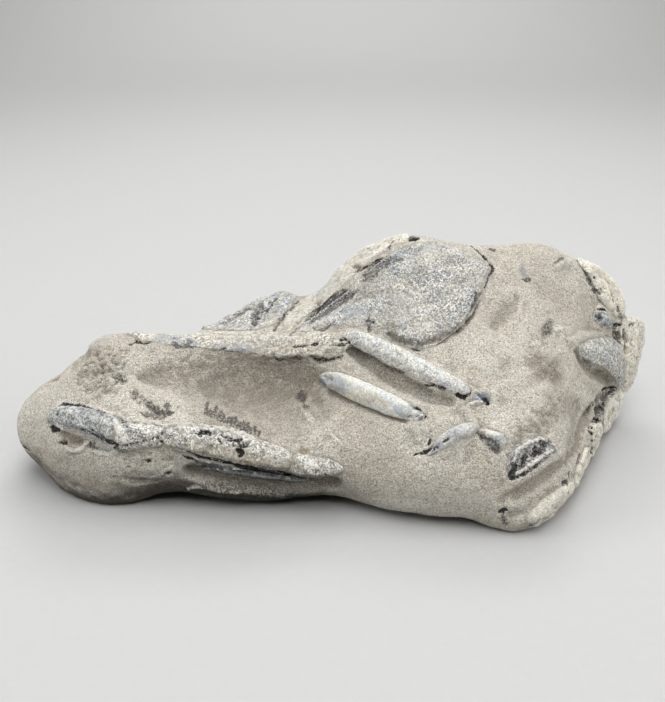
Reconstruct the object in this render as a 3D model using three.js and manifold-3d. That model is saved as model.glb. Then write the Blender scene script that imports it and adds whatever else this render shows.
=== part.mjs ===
// A fossil lobster in its block of sandstone, as a three.js scene graph.
// Units are millimetres, +Z is up, +X runs from the narrow end of the block to its broad end, and the
// prepared side of the block faces -Y. The group is centred over the origin and rests on Z = 0.

import * as THREE from "three";
import { mergeVertices } from "three/addons/utils/BufferGeometryUtils.js";
import Module from "manifold-3d";

const wasm = await Module();
wasm.setup();

// ---------------------------------------------------------------------------------------------
// Driving dimensions
// ---------------------------------------------------------------------------------------------

const LEFT_TIP = [-77, -3, 13]; // narrow end of the block
const RIGHT_TIP = [82.6, 32, 19]; // broad end of the block
const STONE_STATIONS = 38; // cross-sections along the block
const STONE_SECTORS = 30; // facets round each cross-section
const TIP_CROWDING = 0.55; // 0 spaces the cross-sections evenly, 1 crowds them at both ends
const POCKET_GAP = 0.3; // clearance between a fossil and the stone round it
const LIMB_SIDES = 7; // facets round a limb
const END_SQUARENESS = 4; // 2 rounds the ends of a limb off like an egg, more keeps them blunt
const JOINT_SQUARENESS = 16; // the same where one segment of a claw meets the next
const MERGE_DISTANCE = 1e-4; // vertices closer than this are one
const PATCH_REACH = 6; // half the height of the prism that cuts a patch out of the block's face
const FLOOR_BOX = 400; // side of the block that trims the feet flat

// ---------------------------------------------------------------------------------------------
// The stone: eleven named rails run from tip to tip, and every cross-section passes through them.
// Each point is [x, y, z].
// ---------------------------------------------------------------------------------------------

const RAILS = {
  keel: [[-71, -2, 5], [-62, -3, 0], [-50, -2, -1.2], [-30, 4, 2], [-10, 12, 1.5], [10, 15, -0.8],
    [28, 15, -1.4], [46, 14, -1], [60, 18, 0], [70, 24, 0.6], [75, 27, 3.6], [80, 31, 10]],
  frontFoot: [[-75, -7, 8], [-71, -9, 4], [-64, -15, 0.5], [-54, -20.4, -1], [-48, -20, -1],
    [-40, -18, 1.5], [-28, -19, 1], [-18, -21, 0.5], [0, -19.5, 1.8], [12, -26, 1.4], [22, -29, 1.6],
    [31, -30, 1.4], [36, -31.5, 0], [41, -33, -1], [48, -27, -1], [56, -14, -0.6], [64, 1, 0],
    [70, 12.6, -0.2], [74, 18.4, 0.2], [77.4, 23, 3.4], [80, 27.4, 8]],
  frontBelly: [[-75, -9, 11], [-71, -12, 10], [-64, -19, 9], [-54, -24, 9], [-40, -25, 10],
    [-20, -26.5, 10], [0, -26, 9], [15, -31, 10], [30, -34, 9], [40, -35, 6], [49, -29, 8],
    [57, -16, 9], [65, 0, 10], [72, 15.4, 10.6], [77, 24, 11.6], [80, 28, 13.4]],
  frontFace: [[-75, -8, 15], [-71, -11, 16], [-64, -19, 17], [-54, -23, 18], [-40, -24, 18.5],
    [-20, -25, 18], [0, -25, 17], [15, -27, 18], [30, -27, 19], [44, -25, 20], [53, -17, 20],
    [59, -5, 19], [66, 8, 18], [73, 20, 18.6], [77, 25.4, 19], [80, 28.2, 19.4]],
  hollow: [[-75, -5, 17], [-71, -6, 20], [-64, -9, 24], [-54, -11, 25.5], [-40, -10, 25],
    [-20, -9, 24], [-5, -10, 24], [10, -14, 26.5], [25, -12, 29], [40, -9, 30], [51, -3, 30],
    [59, 5, 30], [66, 14, 27], [73, 23, 24], [77, 26.6, 23.4], [80, 28.8, 22.4]],
  ridge: [[-75, -2, 17.5], [-71, -1, 20.5], [-66, 1, 22.6], [-61.4, 2, 29.4], [-55, 3, 32.3],
    [-40, 2, 31.7], [-25, 1, 32], [-10, -1, 32], [5, -3, 33], [15, 1, 36], [30, 6, 38.5],
    [45, 8, 38], [55, 11, 37], [62, 16, 35], [69, 22, 31], [75, 27, 27.4], [80, 30.4, 24]],
  shoulder: [[-75, 0, 17.5], [-71, 3, 20.5], [-66, 5, 22.2], [-61, 8, 29.2], [-54, 9, 31.2],
    [-48, 9, 30.4], [-38, 10, 29.8], [-20, 12, 30.8], [-8, 10, 32.5], [0, 10, 36],
    [8, 12, 41.5], [18, 14, 45], [30, 17, 45], [45, 18, 44.5], [57, 20, 43], [64, 24, 40],
    [71, 28, 34.6], [76, 30.4, 29.4], [80, 32, 25]],
  crown: [[-75, 1, 16], [-70, 6, 19.5], [-61.6, 12, 25.6], [-54, 14, 28.6], [-46, 15, 28.2],
    [-38, 16, 28], [-30, 20, 29],
    [-24, 27, 30.8], [-15, 33, 33.8], [-9, 33, 32.4], [-4, 30, 34.6], [0, 28, 39.4], [6, 27, 45.9],
    [14, 27, 49.8], [22, 28, 51], [32, 30, 48.5], [40, 30, 47.8], [48, 30, 48.5], [56, 30, 48.2],
    [63, 31, 44.5], [69, 31, 41], [74, 32, 35.4], [78, 33, 29], [80.4, 33, 25.6]],
  backShoulder: [[-74, 8, 15], [-66, 17, 17], [-54, 23, 20], [-36, 27, 22], [-20, 38, 25],
    [-5, 40, 27], [8, 42, 36], [20, 44, 40], [36, 45, 38], [52, 45, 38], [64, 43, 34], [71, 40, 30],
    [77, 37, 25], [80.6, 34.8, 22]],
  backFace: [[-75, 6, 10], [-70, 13, 9], [-62, 20, 10], [-50, 27, 12], [-34, 31, 13], [-18, 39, 14],
    [0, 43, 16], [18, 47, 19], [36, 48, 19], [52, 47, 18], [64, 44, 17], [73, 40, 16],
    [78, 36.4, 16.4], [81, 34, 17.4]],
  backFoot: [[-74, 3, 8], [-68, 8, 3], [-60, 15, 0], [-48, 22, -0.5], [-30, 26, 0.5], [-10, 34, -0.5],
    [10, 38, -1], [30, 41, -1], [50, 40, -1], [62, 38, 0], [71, 35, 4], [77, 33, 10],
    [80.4, 32.6, 13.4]],
};

// ---------------------------------------------------------------------------------------------
// The limbs: each is a rod bent along a path of [x, y, z, half-width]. facing points out of the
// stone, and thickness is the rod's half-depth that way as a share of its half-width.
// ---------------------------------------------------------------------------------------------

const LIMBS = {
  claw_palm: {
    path: [[-65.6, -14.8, 19.6, 0.9], [-62, -16.4, 20.6, 2.3], [-57.6, -18.4, 20.8, 2.9],
      [-52.4, -20.8, 20.2, 3.2], [-47.4, -22.6, 19, 3.1]],
    facing: [-0.15, -0.58, 0.8], thickness: 0.8, squareness: JOINT_SQUARENESS, steps: 10,
    color: 0xa9aaa6,
  },
  claw_wrist: {
    path: [[-48, -22.8, 19, 3], [-44, -23.2, 18.8, 3], [-40.4, -23.4, 19, 2.3],
      [-37.2, -23.5, 19.1, 1.9]],
    facing: [0, -0.74, 0.67], thickness: 0.9, squareness: JOINT_SQUARENESS, steps: 8, color: 0xa6a7a3,
  },
  claw_arm: {
    path: [[-37.8, -23.5, 19, 2], [-31.6, -24.3, 18.5, 3], [-25.4, -25.1, 17.7, 3.4],
      [-18, -25.9, 16.3, 3.2], [-8.6, -26.4, 14, 2.5]],
    facing: [0, -0.85, 0.53], thickness: 0.95, squareness: JOINT_SQUARENESS, steps: 11,
    color: 0xb2ac9c,
  },
  claw_arm_upper: {
    path: [[-9.2, -26.4, 13.9, 2.5], [-4.4, -26.6, 13.1, 2.2], [-1, -26.7, 13, 1.9],
      [2.4, -27, 12.5, 0.8]],
    facing: [0, -0.95, 0.3], thickness: 1, squareness: JOINT_SQUARENESS, steps: 8, color: 0xb4b1a8,
  },
  claw_finger: {
    path: [[-31.4, -25.4, 13.8, 0.6], [-25.6, -25.9, 12.8, 0.9], [-19, -26.2, 11.9, 1],
      [-12, -26.1, 10.6, 1], [-4.6, -25.9, 9.4, 0.8]],
    facing: [0, -0.98, -0.2], thickness: 1.5, steps: 8, color: 0x8b8c8a,
  },
  leg_upper: {
    path: [[2.4, -0.6, 34.4, 1.1], [6.4, -2.8, 34, 1.9], [12.6, -6.6, 32.2, 2.3],
      [21, -11.6, 29.6, 2.2], [27.6, -15.3, 27.6, 1.9], [30.8, -17.2, 26.6, 1.5]],
    facing: [-0.05, -0.5, 0.86], thickness: 1, steps: 11, color: 0xb3b1aa,
  },
  leg_upper_tip: {
    path: [[31.6, -18.4, 25.4, 0.9], [35.2, -17.4, 26, 1.5]],
    facing: [-0.02, -0.5, 0.86], thickness: 0.8, steps: 6, color: 0x6f6b69,
  },
  leg_lower: {
    path: [[-2.6, -7.9, 27.1, 1.2], [-0.2, -9.6, 26.7, 2], [4.6, -13, 26, 2.5], [11, -17.4, 24.8, 2.4],
      [16.4, -20.4, 23.6, 2], [20.2, -22.3, 22.6, 1.1]],
    facing: [-0.15, -0.57, 0.8], thickness: 0.9, steps: 10, color: 0xb9b49e,
  },
  leg_sliver: {
    path: [[20.8, -28.6, 16.9, 0.3], [23.6, -27.2, 18.8, 0.8], [27.2, -25.7, 20.4, 1],
      [31.2, -24.5, 21.4, 0.8]],
    facing: [-0.04, -0.66, 0.75], thickness: 0.9, steps: 7, color: 0x9d9f9c,
  },
  leg_stub: {
    path: [[33.4, -26.3, 20, 0.6], [35.8, -27, 19.6, 1.3], [37, -28, 18.4, 1.3]],
    facing: [0, -0.7, 0.71], thickness: 0.8, steps: 6, color: 0x98999a,
  },
  tail_ring: {
    path: [[67, 19.2, 31.4, 1.5], [70, 22.4, 29.4, 2.5], [73, 25.2, 27.2, 2.1]],
    facing: [0.8, -0.5, 0.35], thickness: 1, steps: 6, color: 0x6d6f75,
  },
};

// ---------------------------------------------------------------------------------------------
// The shells: each is a domed lens within a closed outline of [x, y, z], clockwise seen from outside.
// facing points out of the stone, and rise and depth are how far the lens stands out of its outline
// and reaches into the stone.
// ---------------------------------------------------------------------------------------------

const SHELLS = {
  carapace_near_side: {
    outline: [[-9.6, 6.4, 32.6], [-5.2, 11.6, 34], [-0.4, 13.8, 37.2], [4, 14.6, 40.6],
      [9.6, 17.4, 45.2], [14.6, 19.8, 48], [20, 22.8, 49.9], [27, 24.8, 49.8], [35, 22.8, 47.6],
      [40, 17.6, 44.6], [37, 10.4, 40.8], [33.8, 4.6, 37.6], [27.4, -2.2, 34.2], [20.6, -5.8, 32.4],
      [13.4, -3, 33.4], [4, 1.6, 34.4], [-4, 3.6, 33.2]],
    facing: [-0.05, -0.5, 0.86], rise: 2.4, depth: 2, sectors: 28, rings: 6, color: 0xa9aaa6,
  },
  tail_pleuron: {
    outline: [[60, 5.8, 28.8], [62.4, 9.4, 28.9], [66, 14.7, 27.8], [70.4, 20.3, 25.9], [73.9, 23.7, 23.7],
      [76, 24.8, 21.1], [77.5, 25.6, 17.6], [78.2, 25.9, 13.7], [78, 25, 10.8], [76.6, 22.8, 9.6],
      [74.2, 19.6, 11.9], [71.4, 15.9, 15.5], [68.9, 13.4, 18.2], [66.1, 9.9, 20.1], [63.4, 6.7, 22.7],
      [61.4, 5.3, 25.5]],
    facing: [0.78, -0.55, 0.3], rise: 3.2, depth: 2.6, sectors: 20, rings: 6, color: 0x9d9f9b,
  },
  tail_segment_1: {
    outline: [[64.4, 31, 43.8], [68.4, 33.6, 42.2], [72.8, 34, 39.2], [76.4, 33, 35], [78.6, 31.4, 31],
      [77.8, 29, 28.4], [74.2, 26.6, 29.6], [71.4, 24.4, 32.8], [69, 24.4, 36.4], [66.4, 26, 40.8]],
    facing: [0.72, -0.4, 0.56], rise: 1.6, depth: 3, sectors: 18, rings: 4, color: 0xb9ae96,
  },
  tail_segment_2: {
    outline: [[77.6, 28.6, 27.4], [81.6, 31.6, 27.2], [85.2, 33.6, 24.6], [85.2, 32.8, 18],
      [84, 31, 12], [81.6, 28.4, 6.4], [77.8, 24.2, 9.6], [76.6, 24.2, 16], [76.4, 26, 23]],
    facing: [0.76, -0.65, 0.1], rise: 0.8, depth: 2.6, sectors: 16, rings: 4, color: 0xa59a88,
  },
};

// ---------------------------------------------------------------------------------------------
// The patches: each is a skin of the block within a closed outline of [x, y, z] seen along facing.
// Its face is the face of the bare block lifted by rise, and its back is that face sunk by depth.
// ---------------------------------------------------------------------------------------------

const PATCHES = {
  carapace_far_side: {
    outline: [[-11.4, 9.8, 32], [-11.8, 15.6, 32], [-9, 23, 33], [-5, 26.4, 35.8], [0, 27, 40.6],
      [7, 27.4, 46.4], [14.6, 28.4, 49.9], [21.6, 28.4, 50.6], [19.6, 25, 50.8], [14, 22.2, 48.8],
      [8.6, 19.6, 45.8], [3, 17, 41.4], [-1.4, 15.8, 37.6], [-6.8, 14.4, 33.8]],
    facing: [-0.5, -0.1, 0.86], rise: 0.5, depth: 1.5, corners: 20, color: 0xb9b19c,
  },
  back_claw: {
    outline: [[-33, 14.6, 29.8], [-28, 20, 30.6], [-21.6, 26.6, 32.8], [-15, 30.4, 34.8],
      [-10.2, 30.8, 34.6], [-10, 25, 33.2], [-13, 14.6, 32], [-18, 10, 31.6], [-26, 11, 30.8]],
    facing: [-0.1, -0.2, 0.97], rise: 1, depth: 1.5, corners: 14, color: 0xaca89c,
  },
  ledge_shell: {
    outline: [[-50, 5, 31.6], [-40, 6, 31.8], [-30, 7, 31.8], [-20, 6.4, 32.4], [-11, 5, 32.8],
      [-4, 2.2, 33.4], [1.4, -0.8, 33.8], [0.8, -4.2, 32.4], [-5, -4.4, 31.6], [-13, -4, 31],
      [-22, -2.6, 31], [-32, -1, 31.2], [-40, 0.4, 31.4], [-46.6, 1.8, 31.6]],
    facing: [0, -0.3, 0.95], rise: 0.6, depth: 1.2, corners: 20, color: 0xb6b0a3,
  },
  pitted_plate: {
    outline: [[37.9, -30.6, 15.6], [39.2, -28.4, 18], [41.2, -26.6, 19.4], [44.7, -25.3, 19.5],
      [47.8, -24.4, 18.4], [49.4, -24.4, 16.9], [46.6, -27, 16], [43, -29.9, 14.6],
      [39.3, -31.9, 13.4]],
    facing: [0.25, -0.72, 0.64], rise: 0.4, depth: 1.4, corners: 13, color: 0x6c6b6b,
  },
  tail_segment_3: {
    outline: [[68.6, 9.4, 13.4], [72.4, 15.6, 12], [77.6, 23.2, 10.4], [77.8, 22.6, 5], [73.6, 15.4, 1.6],
      [70, 9.4, 3.4], [68.4, 7, 8]],
    facing: [0.86, -0.5, 0], rise: 0.9, depth: 1.6, corners: 10, color: 0xa8a093,
  },
  tail_segment_4: {
    outline: [[62.8, -4, 12], [66, 1.4, 10.8], [68.2, 6, 7.4], [68, 5, 2.8], [65, -1, 2],
      [62.4, -5.4, 5]],
    facing: [0.86, -0.5, 0], rise: 0.9, depth: 1.6, corners: 10, color: 0xaba393,
  },
  tail_segment_5: {
    outline: [[57.6, -14, 8.8], [60.6, -8.2, 8.8], [61.6, -6.4, 5], [60.8, -8.2, 2.2],
      [57.8, -13.8, 2], [55.2, -18.6, 4.4]],
    facing: [0.86, -0.5, 0.02], rise: 0.9, depth: 1.6, corners: 9, color: 0xb0a897,
  },
  tail_segment_6: {
    outline: [[53.4, -21.6, 6.8], [54.2, -20.6, 2.8], [50.6, -25.8, 1.8], [46, -30.8, 1.8],
      [41.6, -33.8, 2.6], [42.8, -33.2, 5.6], [46.4, -30.6, 7.4], [50, -26.8, 8]],
    facing: [0.72, -0.68, 0.1], rise: 0.7, depth: 1.6, corners: 12, color: 0xb0a897,
  },
};

const UP = new THREE.Vector3(0, 0, 1);
const STONE_COLOR = 0xbbae9b;
const STONE_ROUGHNESS = 0.95;
const FOSSIL_ROUGHNESS = 0.75;

// ---------------------------------------------------------------------------------------------
// Shapes
// ---------------------------------------------------------------------------------------------

// A sphere with each vertex moved to place(latitude, longitude), both from 0 to 1 with the poles at
// latitudes 0 and 1.
function movedSphere(sectors, stations, place) {
  const sphere = new THREE.SphereGeometry(1, sectors, stations);
  const position = sphere.attributes.position;
  const row = sectors + 1;
  for (let i = 0; i <= stations; i++) {
    for (let j = 0; j < row; j++) {
      const p = place(i / stations, (j % sectors) / sectors);
      position.setXYZ(i * row + j, p.x, p.y, p.z);
    }
  }
  return sphere;
}

// The y and z of a rail as a function of x.
function railCurve(points) {
  const all = [LEFT_TIP, ...points, RIGHT_TIP];
  const positions = all.map((p) => p[0]);
  const values = all.flatMap((p) => [p[1], p[2]]);
  return new THREE.CubicInterpolant(positions, values, 2, new Float32Array(2));
}

// The closed cross-section of the stone at x.
function stoneSection(rails, x) {
  const points = rails.map((rail) => {
    const [y, z] = rail.evaluate(x);
    return new THREE.Vector3(x, y, z);
  });
  return new THREE.CatmullRomCurve3(points, true, "centripetal");
}

function stoneGeometry() {
  const rails = Object.values(RAILS).map(railCurve);
  const sections = new Map();
  return movedSphere(STONE_SECTORS, STONE_STATIONS, (latitude, longitude) => {
    if (!sections.has(latitude)) {
      const crowded = (1 - Math.cos(Math.PI * latitude)) / 2;
      const share = THREE.MathUtils.lerp(latitude, crowded, TIP_CROWDING);
      sections.set(latitude, stoneSection(rails, THREE.MathUtils.lerp(LEFT_TIP[0], RIGHT_TIP[0], share)));
    }
    return sections.get(latitude).getPoint(longitude);
  });
}

// A rod along the limb's path with rounded ends, larger all round by grow.
function limbGeometry({ path, facing, thickness, squareness = END_SQUARENESS, steps }, grow) {
  const points = path.map((p) => new THREE.Vector3(p[0], p[1], p[2]));
  const curve = new THREE.CatmullRomCurve3(points, false, "centripetal");
  const start = curve.getTangent(0).multiplyScalar(-grow);
  const end = curve.getTangent(1).multiplyScalar(grow);
  const last = path.length - 1;
  return movedSphere(LIMB_SIDES, steps, (latitude, longitude) => {
    const share = (1 - Math.cos(Math.PI * latitude)) / 2;
    const centre = curve.getPoint(share);
    centre.addScaledVector(start, 1 - share).addScaledVector(end, share);
    const tangent = curve.getTangent(share);
    const across = new THREE.Vector3().crossVectors(tangent, new THREE.Vector3(...facing)).normalize();
    const out = new THREE.Vector3().crossVectors(across, tangent);
    const i = Math.min(Math.floor(share * last), last - 1);
    const halfWidth = THREE.MathUtils.lerp(path[i][3], path[i + 1][3], share * last - i);
    const round = Math.pow(Math.max(0, 1 - Math.pow(2 * share - 1, squareness)), 0.5);
    const angle = 2 * Math.PI * longitude;
    centre.addScaledVector(across, Math.cos(angle) * round * (halfWidth + grow));
    return centre.addScaledVector(out, Math.sin(angle) * round * (halfWidth * thickness + grow));
  });
}

// The outline of a shell or patch, as its middle, its outward direction, and a function that gives
// the outline's point at share, moved away from the outline's inside by grow.
function outlineOf({ outline, facing }, grow) {
  const points = outline.map((p) => new THREE.Vector3(...p));
  const curve = new THREE.CatmullRomCurve3(points, true, "centripetal");
  const out = new THREE.Vector3(...facing).normalize();
  const middle = points.reduce((sum, p) => sum.add(p), new THREE.Vector3()).divideScalar(points.length);
  const pointAt = (share) => {
    const aside = new THREE.Vector3().crossVectors(out, curve.getTangentAt(share)).normalize();
    return curve.getPointAt(share).addScaledVector(aside, grow);
  };
  return { middle, out, pointAt };
}

// A domed lens inside the shell's outline, larger all round by grow.
function shellGeometry(shell, grow) {
  const { rise, depth, sectors, rings } = shell;
  const { middle, out, pointAt } = outlineOf(shell, grow);
  return movedSphere(sectors, rings, (latitude, longitude) => {
    const angle = Math.PI * latitude;
    const reach = pointAt(1 - longitude).sub(middle);
    const bulge = Math.cos(angle);
    const height = bulge * ((bulge > 0 ? rise : depth) + grow);
    return middle.clone().addScaledVector(reach, Math.sin(angle)).addScaledVector(out, height);
  });
}

// A prism along facing over the patch's outline, larger all round by grow.
function prismGeometry(patch, grow) {
  const { middle, out, pointAt } = outlineOf(patch, grow);
  const toWorld = new THREE.Matrix4().lookAt(out, new THREE.Vector3(), UP);
  const toPlane = toWorld.clone().invert();
  const flat = [];
  for (let i = 0; i < patch.corners; i++) {
    const p = pointAt(i / patch.corners).sub(middle).applyMatrix4(toPlane);
    flat.push(new THREE.Vector2(p.x, p.y));
  }
  const settings = { depth: 2 * PATCH_REACH, bevelEnabled: false };
  const prism = new THREE.ExtrudeGeometry(new THREE.Shape(flat), settings);
  prism.translate(0, 0, -PATCH_REACH);
  prism.applyMatrix4(toWorld);
  return prism.translate(middle.x, middle.y, middle.z);
}

// ---------------------------------------------------------------------------------------------
// Booleans
// ---------------------------------------------------------------------------------------------

function solidOf(geometry) {
  const bare = geometry.clone();
  bare.deleteAttribute("normal");
  bare.deleteAttribute("uv");
  const merged = mergeVertices(bare, MERGE_DISTANCE);
  return new wasm.Manifold(new wasm.Mesh({
    numProp: 3,
    vertProperties: new Float32Array(merged.attributes.position.array),
    triVerts: new Uint32Array(merged.index.array),
  }));
}

// The biggest of the separate bodies that a cut left.
function largestBody(solid) {
  return solid.decompose().reduce((best, body) => (body.volume() > best.volume() ? body : best));
}

function geometryOf(solid) {
  const { vertProperties, triVerts } = solid.getMesh();
  const geometry = new THREE.BufferGeometry();
  geometry.setAttribute("position", new THREE.BufferAttribute(vertProperties, 3));
  geometry.setIndex(new THREE.BufferAttribute(triVerts, 1));
  geometry.computeVertexNormals();
  return geometry;
}

// ---------------------------------------------------------------------------------------------
// Assembly: each fossil keeps clear of the pockets of those before it, and the stone of them all.
// ---------------------------------------------------------------------------------------------

function namedMesh(name, geometry, color, roughness) {
  const mesh = new THREE.Mesh(geometry, new THREE.MeshStandardMaterial({ color, roughness, metalness: 0 }));
  mesh.name = name;
  return mesh;
}

// A fossil's body and the pocket that the stone keeps for it.
function cutFromGeometry(shape, part) {
  return { body: solidOf(shape(part, 0)), pocket: solidOf(shape(part, POCKET_GAP)) };
}

// The same for a patch of the bare block's own face.
function cutFromFace(block, part) {
  const out = new THREE.Vector3(...part.facing).normalize();
  const moved = (distance) => block.translate(out.clone().multiplyScalar(distance).toArray());
  const skin = solidOf(prismGeometry(part, 0)).intersect(moved(part.rise));
  return {
    body: largestBody(skin.subtract(moved(-part.depth))),
    pocket: solidOf(prismGeometry(part, POCKET_GAP)).subtract(moved(-part.depth - POCKET_GAP)),
  };
}

const block = solidOf(stoneGeometry());
const cutAll = (parts, cut) => Object.entries(parts).map(([name, part]) => ({ name, part, ...cut(part) }));
const fossils = [
  ...cutAll(SHELLS, (part) => cutFromGeometry(shellGeometry, part)),
  ...cutAll(LIMBS, (part) => cutFromGeometry(limbGeometry, part)),
  ...cutAll(PATCHES, (part) => cutFromFace(block, part)),
];

const specimen = new THREE.Group();
let stone = block;
fossils.forEach(({ name, part, body, pocket }, i) => {
  const kept = fossils.slice(0, i).reduce((rest, earlier) => rest.subtract(earlier.pocket), body);
  specimen.add(namedMesh(name, geometryOf(kept), part.color, FOSSIL_ROUGHNESS));
  stone = stone.subtract(pocket);
});

const underFloor = new THREE.BoxGeometry(FLOOR_BOX, FLOOR_BOX, FLOOR_BOX);
underFloor.translate(0, 0, -FLOOR_BOX / 2);
stone = largestBody(stone.subtract(solidOf(underFloor)));
specimen.add(namedMesh("stone", geometryOf(stone), STONE_COLOR, STONE_ROUGHNESS));

const box = new THREE.Box3().setFromObject(specimen);
const middle = box.getCenter(new THREE.Vector3());
specimen.position.set(-middle.x, -middle.y, -box.min.z);

const group = new THREE.Group();
group.add(specimen);
export default group;
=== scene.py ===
"""Fossil lobster in its sandstone: the surfaces that show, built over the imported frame.

The stone and every fossil piece start from their own solid in the frame. Each is cast again as a fine skin,
carved with the marks that its sub-assembly lists, roughened, and dressed in a procedural finish.

Marks are measured in millimetres on a face of the specimen: so far to the right, and so far up that face,
from a datum point on the surface that it rests on.
Skins are worked in millimetres too, and become metres when they are handed to Blender.
"""

from __future__ import annotations

import itertools
import logging
import math
from dataclasses import dataclass, field
from enum import Enum

import bmesh
import bpy
import numpy as np
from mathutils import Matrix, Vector
from mathutils.bvhtree import BVHTree


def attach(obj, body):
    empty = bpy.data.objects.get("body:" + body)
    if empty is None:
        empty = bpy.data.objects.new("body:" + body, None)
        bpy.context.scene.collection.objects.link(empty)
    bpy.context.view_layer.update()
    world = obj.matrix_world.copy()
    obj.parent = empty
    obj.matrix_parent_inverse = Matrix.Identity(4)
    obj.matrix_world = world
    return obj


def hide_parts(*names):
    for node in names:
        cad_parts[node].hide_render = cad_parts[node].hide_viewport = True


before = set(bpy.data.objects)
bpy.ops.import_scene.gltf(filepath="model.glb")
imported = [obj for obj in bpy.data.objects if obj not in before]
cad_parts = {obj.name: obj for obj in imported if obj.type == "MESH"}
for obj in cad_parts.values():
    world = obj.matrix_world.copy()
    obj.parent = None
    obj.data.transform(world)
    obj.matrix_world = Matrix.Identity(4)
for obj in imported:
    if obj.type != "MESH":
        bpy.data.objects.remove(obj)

MM = 0.001
DATUM = np.array([-0.937, -0.069, 0.0])
LOG = logging.getLogger("fossil_lobster")

# Points of a CAD solid that are closer than this, in millimetres, are one.
WELD = 0.002
# Seed of the relief that makes the marks' edges wander, and the width of its swells in millimetres.
WANDER_SEED = 77
WANDER_SIZE = 1.8
# A stroke that reaches no further than this is narrow, and the skin under it is made finer.
NARROW_REACH = 1.25
# How much of a gap is left out where it lies straight out of the face, so that strokes cover slanted ground.
DEPTH_EASE = 0.6
# How far past its outline's own box a patch's ground may lie, because it can swell in the middle.
PATCH_DEPTH = 6.0
# Cosines, to a face, of ground that takes none of its marks and of ground that takes them whole.
TURNED_AWAY = -0.35
FACING = 0.05
# How sharply a pit's wall falls.
PIT_WALL = 0.35
# A hollow counts as deep from this depth, against its surroundings so many rounds of averaging wide.
HOLLOW_DEPTH = 0.06
HOLLOW_ROUNDS = 5
# Painted shade on the underside of the narrow end: where it ends above, over how much height it comes in, and
# between which places along X it fades out.
PAINTED_SHADE_TOP = 24.0
PAINTED_SHADE_DEPTH = 18.0
PAINTED_SHADE_FADE = (-10.0, 4.0)
# How far under the block ground has to look to take that painted shade, as cosines.
PAINTED_SHADE_LOOK = (-0.05, 0.55)

Colour = tuple[float, float, float]
Spot = tuple[float, float]
Place = tuple[float, float, float]


class Face(Enum):
    """A side of the specimen, as the turn and the tilt, in degrees, of an eye that looks at it."""

    SHOW = (0.0, 22.0)
    BACK = (180.0, 22.0)
    LEFT = (-90.0, 10.0)

    def axes(self) -> tuple[np.ndarray, np.ndarray, np.ndarray]:
        """Gives the face's own directions.

        Returns:
            Unit vectors to the right, up the face, and out of it towards the eye.
        """
        turn, tilt = (math.radians(angle) for angle in self.value)
        right = np.array([math.cos(turn), math.sin(turn), 0.0])
        up = np.array([-math.sin(turn) * math.sin(tilt), math.cos(turn) * math.sin(tilt), math.cos(tilt)])
        out = np.array([math.sin(turn) * math.cos(tilt), -math.cos(turn) * math.cos(tilt), math.sin(tilt)])
        return right, up, out


class Tint(Enum):
    """What a mark leaves on the surface besides its relief, partly painted shade in the brown and dark grey
    tints. The value names the mesh attribute.
    """

    VEIN = "vein"
    SOOT_AND_SHADE = "soot_and_shade"
    CALCITE = "calcite"
    STAIN = "stain"
    FILM = "film"
    EARTH_AND_SHADE = "earth_and_shade"


VEIN, SOOT_AND_SHADE, CALCITE, STAIN, FILM, EARTH_AND_SHADE = Tint


class Shape(Enum):
    """How a mark's points are read: as a stroke, or as the outline of a patch."""

    LINE = "line"
    PATCH = "patch"


class Layer(Enum):
    """Which skins a mark works on."""

    STONE = "stone"
    SHELL = "shell"
    BOTH = "both"


class Noise:
    """Smooth random relief in space, the same at every run."""

    # What brings its heights to about -1 to 1, and how far apart two of its sizes are sampled.
    GAIN = 1.7
    APART = 31.7

    def __init__(self, seed: int) -> None:
        """Draws the lattice.

        Args:
            seed: Which of the many possible reliefs this is.
        """
        draw = np.random.default_rng(seed)
        self.order = draw.permutation(256)
        slopes = draw.normal(size=(256, 3))
        self.slopes = slopes / np.linalg.norm(slopes, axis=1)[:, None]

    def at(self, points: np.ndarray, size: float) -> np.ndarray:
        """Samples the relief.

        Args:
            points: Places in millimetres, one a row.
            size: Width of one swell in millimetres.

        Returns:
            A height from about -1 to 1 for each place.
        """
        place = points / size
        cell = np.floor(place).astype(int)
        inside = place - cell
        ease = inside**3 * (inside * (inside * 6 - 15) + 10)
        total = np.zeros(len(points))
        for corner in itertools.product((0, 1), repeat=3):
            key = cell + corner
            pick = self.order[key[:, 0] & 255]
            pick = self.order[(pick + key[:, 1]) & 255]
            pick = self.order[(pick + key[:, 2]) & 255]
            weight = np.where(corner, ease, 1 - ease).prod(axis=1)
            total += weight * ((inside - corner) * self.slopes[pick]).sum(axis=1)
        return total * self.GAIN

    def layered(self, points: np.ndarray, size: float, layers: int, fade: float = 0.5) -> np.ndarray:
        """Adds finer and finer swells.

        Args:
            points: Places in millimetres.
            size: Width of the widest swell.
            layers: How many sizes are added, each half as wide as the last.
            fade: How high each size is beside the one before it.

        Returns:
            A height for each place.
        """
        total = np.zeros(len(points))
        for layer in range(layers):
            total += self.at(points + self.APART * layer, size / 2**layer) * fade**layer
        return total


def eased(value: np.ndarray, low: float, high: float) -> np.ndarray:
    """Goes smoothly from 0 to 1 while the value goes from low to high."""
    share = np.clip((value - low) / (high - low), 0.0, 1.0)
    return share * share * (3 - 2 * share)


@dataclass(frozen=True)
class Mark:
    """One stroke or patch on a face of the specimen.

    Args:
        path: Points on the face, each so far to the right and so far up, in millimetres.
        reach: How far the mark spreads to each side.
        lift: How far the surface stands out at its middle. Below zero, it is cut in.
        tint: What it leaves on the surface.
        strength: How strongly it leaves that.
        ragged: How far its edge wanders.
        rough: Height of the lumps that it leaves behind.
        lump: Width of those lumps.
        taper: How much it thins towards its ends.
        shape: How the points are read.
        layer: Which skins it works on.
        face: The face that it is measured on.
    """

    path: tuple[Spot, ...]
    reach: float
    lift: float = 0.0
    tint: Tint | None = None
    strength: float = 1.0
    ragged: float = 0.0
    rough: float = 0.0
    lump: float = 1.6
    taper: float = 0.4
    shape: Shape = Shape.LINE
    layer: Layer = Layer.BOTH
    face: Face = Face.SHOW


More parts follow.
